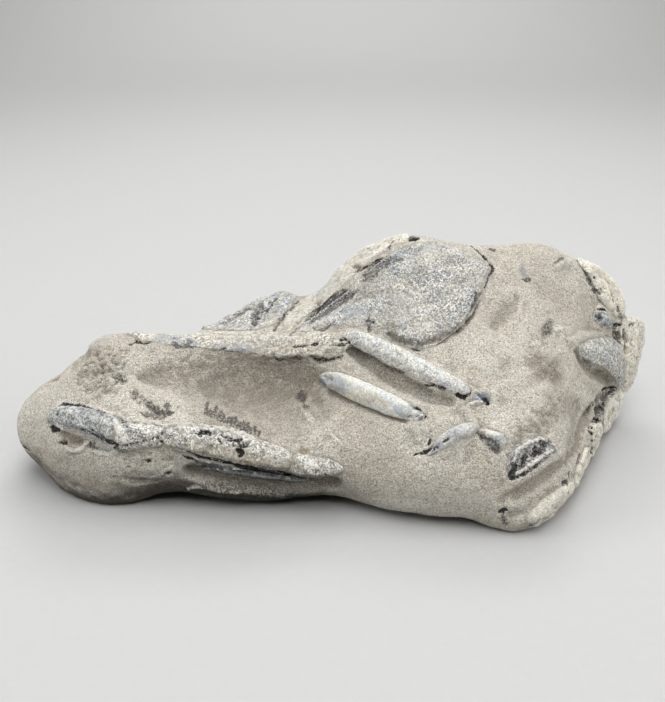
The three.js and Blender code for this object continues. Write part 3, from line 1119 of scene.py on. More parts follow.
@dataclass
class HeadShield(SubAssembly):
    """The two sides of the carapace, the claw fragment behind it, and the shell along the ledge."""

    seed: int = 11

    def pieces(self) -> tuple[Piece, ...]:
        """Lists the pieces.

        Returns:
            One entry for each CAD node of the group.
        """
        grey = ShellFinish("carapace_shell", (0.655, 0.638, 0.578), (0.475, 0.49, 0.495), share=0.52,
                           cloud=7.0, stipple=0.30, dark=0.46, depth=0.42, crackle=0.4, grit=1.15)
        cream = ShellFinish("carapace_far_shell", (0.66, 0.62, 0.53), (0.52, 0.52, 0.49), share=0.35,
                            cloud=6.0, stipple=0.34, dark=0.15, depth=0.2, crackle=0.3, grit=0.55)
        sandy = ShellFinish("ledge_skin", (0.635, 0.595, 0.51), (0.535, 0.525, 0.485), share=0.4, cloud=5.0,
                            stipple=0.36, dark=0.24, depth=0.3, crackle=0.25, grit=0.9)
        streaked = ShellFinish("back_claw_shell", (0.62, 0.60, 0.54), (0.38, 0.41, 0.44), share=0.5,
                               cloud=4.0, stipple=0.34, dark=0.45, depth=0.25, crackle=0.6,
                               lump=2.2)
        return (
            Piece("carapace_near_side", "carapace_shell", grey, rounds=10, bumps=0.15, grains=0.10,
                  proud=0.35),
            Piece("carapace_far_side", "carapace_shell", cream, bumps=0.3, bump_size=5.0, grains=0.1,
                  proud=0.3),
            Piece("back_claw", "carapace_shell", streaked, bumps=0.4, bump_size=3.5, grains=0.15, proud=0.4),
            Piece("ledge_shell", "carapace_shell", sandy, bumps=0.35, bump_size=4.0, grains=0.12, proud=0.2,
                  creep=1.0),
        )

    def marks(self) -> tuple[Mark, ...]:
        """Lists the marks.

        Returns:
            The marks, in the order in which they are carved.
        """
        return (
            Mark(((-10.0, 32.9), (-7.5, 36.3), (-3.9, 39.0), (-0.4, 41.0), (1.0, 39.8), (3.0, 40.5),
                  (1.5, 38.7), (-2.0, 36.5), (-5.1, 34.2), (-8.3, 32.2)), 0.7, -0.5, SOOT_AND_SHADE, 1.3, ragged=0.4,
                 rough=0.2, lump=1.0, shape=Shape.PATCH),
            Mark(((-9.4, 33.2), (-6.2, 35.9), (-3.0, 38.2), (0.6, 40.2)), 2.3, -0.4, VEIN, 0.56, ragged=0.5),
            Mark(((-9.6, 32.5), (-11.8, 30.8), (-13.5, 29.2)), 0.8, -0.3, SOOT_AND_SHADE, 0.8, ragged=0.3),
            Mark(((-14.6, 29.8), (-12.0, 33.2), (-9.0, 36.0), (-6.0, 38.6)), 0.8, 0.3),
            Mark(((4.1, 44.4), (4.0, 42.2), (6.4, 42.7), (8.7, 45.2), (11.5, 47.0), (14.8, 48.3),
                  (12.6, 49.1), (8.6, 48.3), (5.6, 46.5)), 0.8, -0.3, SOOT_AND_SHADE, 0.9, ragged=0.5, rough=0.2,
                 lump=1.0, shape=Shape.PATCH),
            Mark(((4.3, 43.0), (6.2, 45.6), (8.8, 47.4), (12.0, 48.6)), 1.0, -0.3, SOOT_AND_SHADE, 0.9, ragged=0.5),
            Mark(((10.3, 47.3), (15.6, 49.4), (18.7, 50.8), (21.4, 52.3)), 1.8, -0.1, FILM, 0.8, ragged=0.6),
            Mark(((-0.2, 44.1), (2.6, 45.5), (5.1, 46.5), (7.6, 48.1), (10.2, 49.3)), 0.5, -0.25, VEIN, 0.7,
                 ragged=0.3),
            Mark(((5.1, 46.3), (8.1, 47.8), (11.5, 48.9), (14.1, 50.5)), 0.5, -0.2, VEIN, 0.6, ragged=0.3),
            Mark(((32.6, 52.6), (34.4, 50.2), (36.3, 47.9), (37.0, 46.3), (35.7, 44.1), (34.0, 40.4)), 0.7,
                 -0.3, VEIN, 0.85, ragged=0.3),
            # Groove round the carapace's lower edge; its brown is partly painted shade in the groove.
            Mark(((33.0, 39.6), (31.6, 37.1), (30.3, 33.8), (27.6, 30.9), (23.7, 29.0), (19.6, 27.5),
                  (16.0, 26.6), (13.0, 27.7), (9.8, 29.4)), 1.4, -0.7, EARTH_AND_SHADE, 0.6, ragged=0.5),
            Mark(((32.6, 41.2), (31.2, 36.8), (29.0, 33.0), (26.4, 30.6)), 0.8, -0.3, SOOT_AND_SHADE, 0.6, ragged=0.9),
            Mark(((7.0, 31.5), (13.0, 30.8), (19.6, 31.2), (26.5, 33.8)), 5.0, 0.0, STAIN, 0.34, ragged=0.6),
            Mark(((14.0, 46.0), (20.0, 49.5), (27.0, 51.0)), 5.0, 0.0, CALCITE, 0.4, ragged=1.5),
            Mark(((14.0, 30.6), (20.5, 31.6), (26.5, 34.5)), 4.0, 0.0, CALCITE, 0.38, ragged=1.5),
            Mark(((6.3, 32.5), (6.8, 31.9)), 1.0, -0.3, VEIN, 0.9, ragged=0.5, rough=0.2),
            Mark(((5.4, 33.3), (5.6, 31.8), (5.4, 29.9)), 1.0, -0.2, SOOT_AND_SHADE, 0.9, ragged=0.7),
            Mark(((17.3, 44.2), (18.4, 44.7)), 0.7, -0.2, VEIN, 0.7, ragged=0.3),
            Mark(((-0.3, 33.2), (2.4, 34.8), (4.8, 36.6)), 2.4, 0.0, FILM, 1.1, ragged=0.8),
            Mark(((-10.7, 30.4), (-7.6, 31.7), (-3.9, 32.9), (-0.3, 33.6)), 1.5, 0.2, CALCITE, 0.5,
                 ragged=0.5, rough=0.35, lump=1.2),
            Mark(((-10.7, 31.0), (-7.6, 32.2), (-3.9, 33.4), (-0.3, 34.2)), 1.6, 0.0, FILM, 1.0, ragged=0.7),
            Mark(((-8.3, 31.0), (-6.8, 30.4), (-5.1, 30.8), (-3.9, 31.7)), 0.7, -0.25, SOOT_AND_SHADE, 0.9,
                 ragged=0.6),
            Mark(((-18.9, 29.2), (-17.4, 31.1), (-15.6, 33.7), (-13.8, 36.5)), 0.8, -0.3, SOOT_AND_SHADE, 0.9,
                 ragged=0.5),
            Mark(((16.7, 53.8), (18.9, 54.7)), 1.2, -0.9, VEIN, 0.9, ragged=0.3),
            Mark(((11.0, 51.5), (11.8, 52.9), (13.6, 53.7)), 0.6, -0.3, VEIN, 0.85, ragged=0.4),
            Mark(((2.1, 46.7), (3.6, 46.6)), 1.1, -0.6, EARTH_AND_SHADE, 1.1, ragged=0.3),
            Mark(((-7.1, 40.1), (-4.5, 41.8)), 1.6, 0.0, FILM, 0.9, ragged=0.7),
            Mark(((-18.4, 39.0), (-21.4, 35.4), (-23.6, 30.9)), 1.6, -0.5, VEIN, 0.5, ragged=0.6),
            Mark(((-21.6, 37.6), (-22.9, 34.8), (-23.1, 32.2)), 1.6, -0.2, SOOT_AND_SHADE, 0.9, ragged=0.6, rough=0.3,
                 lump=1.2),
            Mark(((-18.3, 38.7), (-19.8, 35.4), (-21.1, 32.7)), 0.9, -0.3, VEIN, 0.6, ragged=0.5),
            Mark(((-24.5, 36.6), (-27.5, 34.6), (-31.0, 31.8)), 1.6, -0.2, SOOT_AND_SHADE, 0.7, ragged=0.7, rough=0.3,
                 lump=1.2),
            Mark(((-16.6, 33.7), (-14.2, 35.9), (-11.9, 38.8)), 0.9, -0.4, VEIN, 0.55, ragged=0.6),
            Mark(((37.3, 51.7), (38.2, 51.2)), 1.0, -0.2, SOOT_AND_SHADE, 0.9, ragged=0.4),
        )


@dataclass
class FrontClaw(SubAssembly):
    """The long claw along the narrow end: its palm, wrist and arm, and the dark sliver under it."""

    seed: int = 23

    def pieces(self) -> tuple[Piece, ...]:
        """Lists the pieces.

        Returns:
            One entry for each CAD node of the group.
        """
        blue = ShellFinish("claw_palm_shell", (0.55, 0.545, 0.51), (0.35, 0.37, 0.38), share=0.5, cloud=4.0,
                           stipple=0.32, dark=0.40, depth=0.40, roughness=0.7, crackle=0.4, lump=1.3,
                           grit=0.8)
        pale = ShellFinish("claw_arm_shell", (0.72, 0.695, 0.63), (0.54, 0.53, 0.49), share=0.4, cloud=4.0,
                           stipple=0.30, dark=0.22, depth=0.35, roughness=0.7, crackle=0.6, lump=1.7,
                           grit=0.85)
        black = ShellFinish("claw_sliver", (0.17, 0.175, 0.18), (0.05, 0.055, 0.06), share=0.6, cloud=2.0,
                            stipple=0.34, dark=0.5, depth=0.2, roughness=0.6, deep=(0.03, 0.03, 0.04),
                            crackle=1.0, lump=1.0, dusty=0.1)
        return (
            Piece("claw_palm", "claw_shell", blue, grains=0.07, grain_size=0.8, pits=0.08),
            Piece("claw_wrist", "claw_shell", pale, grains=0.08, bumps=0.2, bump_size=3.0),
            Piece("claw_arm", "claw_shell", pale, grains=0.1, bumps=0.25, bump_size=3.0),
            Piece("claw_arm_upper", "claw_shell", pale, grains=0.08, bumps=0.2, bump_size=3.0),
            Piece("claw_finger", "dark_calcite", black, voxel=0.3, rounds=3),
        )

    def marks(self) -> tuple[Mark, ...]:
        """Lists the marks.

        Returns:
            The marks, in the order in which they are carved.
        """
        return (
            Mark(((-61.3, 8.6), (-58.3, 7.8), (-55.7, 6.5), (-52.8, 5.2), (-50.2, 4.7)), 0.8, -0.3, VEIN,
                 0.85, ragged=0.2),
            Mark(((-59.7, 9.5), (-57.2, 8.3), (-54.9, 7.0), (-53.3, 5.8)), 0.6, -0.15, VEIN, 0.85,
                 ragged=0.2),
            Mark(((-66.7, 12.3), (-64.8, 13.2), (-61.0, 13.1), (-58.5, 12.4), (-55.0, 11.4), (-53.0, 10.3)),
                 0.6, -0.2, VEIN, 0.85, ragged=0.2),
            Mark(((-66.8, 12.9), (-64.9, 13.8), (-61.2, 13.6), (-58.4, 13.0), (-54.9, 11.9), (-51.3, 10.9)),
                 0.6, 0.15, CALCITE, 0.5, ragged=0.6, rough=0.3, lump=0.9),
            Mark(((-65.9, 11.8), (-65.4, 10.2)), 1.0, -0.4, VEIN, 0.9, ragged=0.4),
            Mark(((-68.1, 8.0), (-66.7, 7.4), (-65.5, 7.5)), 0.8, -0.7, VEIN, 0.9, ragged=0.3),
            Mark(((-66.0, 9.5), (-64.0, 7.5)), 0.9, 0.4, CALCITE, 0.7, ragged=0.3),
            Mark(((-65.5, 6.8), (-62.4, 7.1), (-58.7, 5.6), (-59.4, 4.2), (-61.1, 3.7), (-63.3, 4.2)), 0.7,
                 -0.9, EARTH_AND_SHADE, 0.8, ragged=0.3, shape=Shape.PATCH),
            Mark(((-63.4, 3.6), (-61.9, 2.9), (-60.1, 3.2), (-58.9, 4.3), (-57.9, 5.0)), 0.8, 0.4, CALCITE,
                 0.95, ragged=0.2),
            Mark(((-65.4, 4.6), (-64.3, 4.9), (-63.3, 4.3)), 0.8, -0.3, VEIN, 0.85, ragged=0.6),
            Mark(((-57.8, 5.2), (-55.9, 5.0), (-55.9, 3.4), (-57.8, 3.6)), 0.5, -0.3, SOOT_AND_SHADE, 1.0, ragged=0.2,
                 shape=Shape.PATCH),
            Mark(((-55.6, 4.3), (-52.8, 3.7), (-50.6, 3.9)), 1.2, 0.3, FILM, 0.7, ragged=0.3),
            Mark(((-56.3, 2.8), (-52.8, 2.5), (-50.6, 3.3)), 0.7, 0.2, CALCITE, 0.75, ragged=0.2),
            Mark(((-50.9, 10.1), (-48.9, 8.3), (-47.9, 6.7)), 1.1, -0.2, FILM, 1.1, ragged=0.4),
            Mark(((-50.7, 9.9), (-49.0, 8.6)), 0.9, -0.3, VEIN, 0.7, ragged=0.5),
            Mark(((-50.1, 4.3), (-46.9, 4.9), (-43.6, 5.8), (-41.5, 6.6), (-40.5, 7.3)), 0.7, -0.4, VEIN,
                 0.52, ragged=0.5),
            Mark(((-51.5, 4.6), (-49.0, 3.4)), 1.0, 0.2, VEIN, 0.6, ragged=0.8, rough=0.3),
            Mark(((-36.5, 2.2), (-32.2, 0.2), (-25.1, -1.4), (-15.4, -3.0), (-9.0, -4.0)), 0.7, -0.4, VEIN,
                 0.85, ragged=0.4),
            Mark(((-34.0, 2.0), (-27.0, 0.0), (-20.0, -1.4), (-13.0, -2.5)), 0.5, 0.2, CALCITE, 0.75,
                 ragged=0.5),
            Mark(((-41.5, 6.1), (-40.9, 5.0)), 0.8, -0.3, VEIN, 0.75, ragged=0.5),
            Mark(((-51.3, 10.9), (-46.6, 9.9), (-41.9, 8.9), (-37.4, 8.9), (-33.0, 8.7), (-28.4, 7.6)), 0.8,
                 0.2, CALCITE, 0.6, ragged=0.8, rough=0.4, lump=0.9),
            Mark(((-35.8, 8.0), (-32.0, 7.7), (-28.2, 6.9), (-24.6, 6.1), (-21.4, 5.2)), 0.6, -0.5, VEIN,
                 0.95, ragged=0.5),
            Mark(((-34.1, 7.7), (-32.4, 7.1), (-31.2, 7.6), (-29.2, 7.1)), 0.8, -0.5, VEIN, 0.9, ragged=0.4),
            Mark(((-28.6, 6.3), (-27.5, 5.3)), 0.9, -0.5, VEIN, 0.85, ragged=0.3),
            Mark(((-27.1, 6.5), (-25.6, 5.9), (-25.0, 4.6)), 0.9, -0.5, VEIN, 0.9, ragged=0.3),
            Mark(((-25.0, 6.3), (-23.6, 5.3), (-21.8, 5.0)), 0.9, -0.5, VEIN, 0.95, ragged=0.3),
            Mark(((-24.4, 4.6), (-22.2, 4.6), (-21.5, 5.6)), 0.8, -0.5, VEIN, 1.0, ragged=0.3),
            Mark(((-21.7, 6.0), (-22.2, 4.8)), 0.6, -0.3, VEIN, 0.85, ragged=0.3),
            Mark(((-24.2, 3.8), (-22.9, 3.3), (-23.5, 2.5)), 0.9, -0.7, VEIN, 1.05, ragged=0.3),
            Mark(((-37.6, 4.1), (-34.8, 3.1), (-32.2, 1.9), (-28.6, 1.3), (-25.1, 0.4), (-20.3, -0.6),
                  (-15.4, -1.3), (-10.8, -2.5), (-7.7, -2.8)), 0.8, -0.6, VEIN, 1.0, ragged=0.2),
            Mark(((-7.7, -3.0), (-6.4, -2.5), (-5.2, -1.7)), 0.9, -0.4, VEIN, 1.0, ragged=0.4),
            Mark(((-27.2, 4.4), (-24.2, 4.4), (-24.2, 1.7), (-27.0, 1.6)), 0.8, 0.1, STAIN, 0.8, ragged=0.4,
                 shape=Shape.PATCH),
            Mark(((-38.4, 5.0), (-31.0, 3.6), (-19.4, 1.6), (-12.0, 0.2), (-9.5, -0.9)), 2.0, 0.0, STAIN,
                 0.7, ragged=0.8),
            Mark(((-67.2, 12.0), (-64.4, 12.0), (-62.0, 11.4)), 1.0, 0.35, CALCITE, 0.9, ragged=0.5,
                 rough=0.3, lump=1.2),
            Mark(((-52.0, 9.6), (-50.2, 7.4), (-48.9, 5.6)), 1.2, 0.2, CALCITE, 0.9, ragged=0.5),
            Mark(((-36.0, 9.0), (-32.6, 8.7), (-28.4, 8.1), (-24.4, 7.1), (-21.0, 6.2)), 0.7, 0.25, CALCITE,
                 0.9, ragged=0.6, rough=0.4, lump=0.9),
            Mark(((-10.2, 2.0), (-8.0, 0.6), (-6.8, -1.0)), 1.2, 0.1, CALCITE, 0.6, ragged=0.6),
        )


@dataclass
class WalkingLegs(SubAssembly):
    """The two walking legs on the show face, and the splinters beside them."""

    seed: int = 37

    def pieces(self) -> tuple[Piece, ...]:
        """Lists the pieces.

        Returns:
            One entry for each CAD node of the group.
        """
        silk = ShellFinish("leg_upper_shell", (0.74, 0.72, 0.65), (0.55, 0.575, 0.59), share=0.36, cloud=3.5,
                           stipple=0.32, dark=0.22, depth=0.26, roughness=0.7, crackle=0.3, grit=0.55)
        cream = ShellFinish("leg_lower_shell", (0.84, 0.80, 0.66), (0.60, 0.63, 0.63), share=0.5, cloud=4.0,
                            stipple=0.30, dark=0.1, depth=0.16, roughness=0.62, crackle=0.1,
                            grit=0.35)
        dull = ShellFinish("leg_splinter_shell", (0.62, 0.61, 0.57), (0.40, 0.43, 0.46), share=0.5, cloud=3.0,
                           stipple=0.30, dark=0.3, depth=0.2, roughness=0.66, crackle=0.4, grit=0.5)
        dark = ShellFinish("leg_tip_calcite", (0.42, 0.42, 0.42), (0.10, 0.11, 0.13), share=0.7, cloud=2.0,
                           stipple=0.34, dark=0.6, depth=0.15, roughness=0.6, crackle=0.8, dusty=0.1)
        return (
            Piece("leg_upper", "leg_shell", silk, rounds=5, bumps=0.2, bump_size=4.0, grains=0.08,
                  proud=0.9, creep=0.4),
            Piece("leg_upper_tip", "dark_calcite", dark, voxel=0.3),
            Piece("leg_lower", "leg_shell", cream, rounds=6, bumps=0.15, bump_size=4.0, grains=0.06,
                  proud=0.8, creep=0.5),
            Piece("leg_sliver", "leg_shell", dull, swell=0.2, voxel=0.3, rounds=4, grains=0.08),
            Piece("leg_stub", "leg_shell", dull, swell=0.2, voxel=0.3, rounds=4, grains=0.08),
        )

    def marks(self) -> tuple[Mark, ...]:
        """Lists the marks.

        Returns:
            The marks, in the order in which they are carved.
        """
        return (
            Mark(((1.3, 25.4), (5.9, 22.6), (10.4, 19.9), (14.3, 17.6), (18.7, 15.7)), 2.2, -1.2,
                 layer=Layer.STONE),
            Mark(((24.7, 15.6), (26.1, 15.0), (27.4, 16.0)), 0.9, -0.3, VEIN, 1.0, ragged=0.3),
            Mark(((29.4, 15.5), (30.4, 14.8), (31.5, 13.7)), 0.9, -0.6, VEIN, 1.0, ragged=0.3),
            Mark(((26.6, 13.2), (28.6, 14.0), (30.2, 14.0)), 0.6, 0.3, CALCITE, 0.9, ragged=0.1),
            Mark(((15.7, 17.0), (17.7, 17.4), (19.8, 17.7), (22.1, 16.8)), 0.6, -0.3, VEIN, 0.75,
                 ragged=0.2),
            Mark(((12.8, 10.5), (15.0, 10.2), (16.9, 11.3)), 0.7, 0.2, CALCITE, 0.9, ragged=0.2),
            Mark(((-5.6, 18.6), (-3.6, 18.6), (-0.9, 17.4)), 2.0, 0.0, FILM, 2.0, ragged=0.4),
            Mark(((-6.4, 19.2), (-5.0, 20.2), (-2.6, 20.0)), 0.6, 0.1, CALCITE, 0.8, ragged=0.2),
            Mark(((-4.2, 18.2), (-1.9, 18.0)), 0.8, -0.1, SOOT_AND_SHADE, 0.6, ragged=0.5),
            Mark(((0.8, 16.6), (4.0, 15.4), (8.4, 13.6)), 2.2, 0.0, STAIN, 0.7, ragged=0.4),
            Mark(((10.7, 13.0), (14.0, 11.8), (16.6, 10.9)), 2.0, 0.0, FILM, 2.0, ragged=0.5),
            Mark(((13.2, 11.0), (15.4, 10.6), (17.2, 10.6)), 0.9, -0.3, SOOT_AND_SHADE, 0.9, ragged=0.7, rough=0.3,
                 lump=0.8),
            Mark(((13.4, 12.8), (15.2, 12.2)), 0.7, -0.2, SOOT_AND_SHADE, 0.8, ragged=0.7),
            Mark(((15.6, 12.6), (17.4, 11.6), (18.0, 10.2)), 0.6, -0.2, VEIN, 0.7, ragged=0.4),
            Mark(((14.3, 2.6), (16.3, 3.1), (18.3, 3.9)), 0.6, -0.3, VEIN, 0.85, ragged=0.3),
            Mark(((18.2, 3.4), (21.2, 5.7), (23.5, 7.4)), 0.8, -0.5, VEIN, 0.8, ragged=0.4),
            Mark(((18.2, 6.5), (17.6, 4.8)), 0.6, -0.2, VEIN, 0.75, ragged=0.2),
            Mark(((28.8, 8.0), (31.4, 7.1), (33.5, 6.7)), 1.0, 0.5, CALCITE, 0.75, ragged=0.3),
            Mark(((28.7, 7.3), (31.7, 5.3), (32.6, 3.4)), 1.4, -1.0, SOOT_AND_SHADE, 1.1, ragged=0.5),
            Mark(((25.7, 13.5), (27.2, 10.5), (28.4, 8.4)), 1.3, 0.5, ragged=0.4),
            Mark(((28.4, 8.4), (25.3, 7.2), (23.6, 7.8)), 1.3, 0.4, ragged=0.4),
        )


@dataclass
class DarkInfill(SubAssembly):
    """The pitted half-round plate and the small ring stub, both filled with dark calcite."""

    seed: int = 41

    def pieces(self) -> tuple[Piece, ...]:
        """Lists the pieces.

        Returns:
            One entry for each CAD node of the group.
        """
        mottled = ShellFinish("pitted_calcite", (0.60, 0.585, 0.54), (0.13, 0.14, 0.16), share=0.42,
                              cloud=1.8, stipple=0.34, dark=0.45, depth=0.35, roughness=0.6, crackle=0.9,
                              lump=1.3, dusty=0.2)
        blue = ShellFinish("ring_calcite", (0.50, 0.51, 0.50), (0.30, 0.32, 0.35), share=0.5, cloud=2.4,
                           stipple=0.34, dark=0.4, depth=0.3, roughness=0.7, crackle=0.4)
        return (
            Piece("pitted_plate", "dark_calcite", mottled, rounds=4, grains=0.15, pits=0.3),
            Piece("tail_ring", "dark_calcite", blue, rounds=3, grains=0.1, pits=0.1),
        )

    def marks(self) -> tuple[Mark, ...]:
        """Lists the marks.

        Returns:
            The marks, in the order in which they are carved.
        """
        return (
            Mark(((35.0, -1.9), (38.6, -0.1), (42.2, 2.1), (45.3, 3.5)), 0.7, 0.5, CALCITE, 0.95,
                 ragged=0.1),
            Mark(((35.6, -2.6), (38.8, -0.9), (42.2, 1.2)), 0.7, -0.4, VEIN, 0.85, ragged=0.2),
            Mark(((35.4, -2.2), (35.6, -0.6), (36.4, 1.6)), 1.3, -0.4, VEIN, 0.9, ragged=0.5),
            Mark(((37.8, 1.9), (40.2, 2.6), (42.8, 4.2)), 1.3, -0.4, VEIN, 0.62, ragged=0.7),
            Mark(((42.0, 5.0), (44.6, 4.9)), 1.2, -0.3, VEIN, 0.7, ragged=0.6),
            Mark(((38.0, 0.4), (38.6, 3.6)), 0.8, -0.3, VEIN, 0.7, ragged=0.5),
            Mark(((40.6, 1.6), (41.4, 4.8)), 0.8, -0.3, VEIN, 0.7, ragged=0.5),
            Mark(((35.0, -0.8), (35.7, 0.7), (37.0, 3.6), (39.5, 5.3), (42.4, 6.1), (45.6, 4.5)), 0.8, 0.4,
                 CALCITE, 0.85, ragged=0.2),
        )


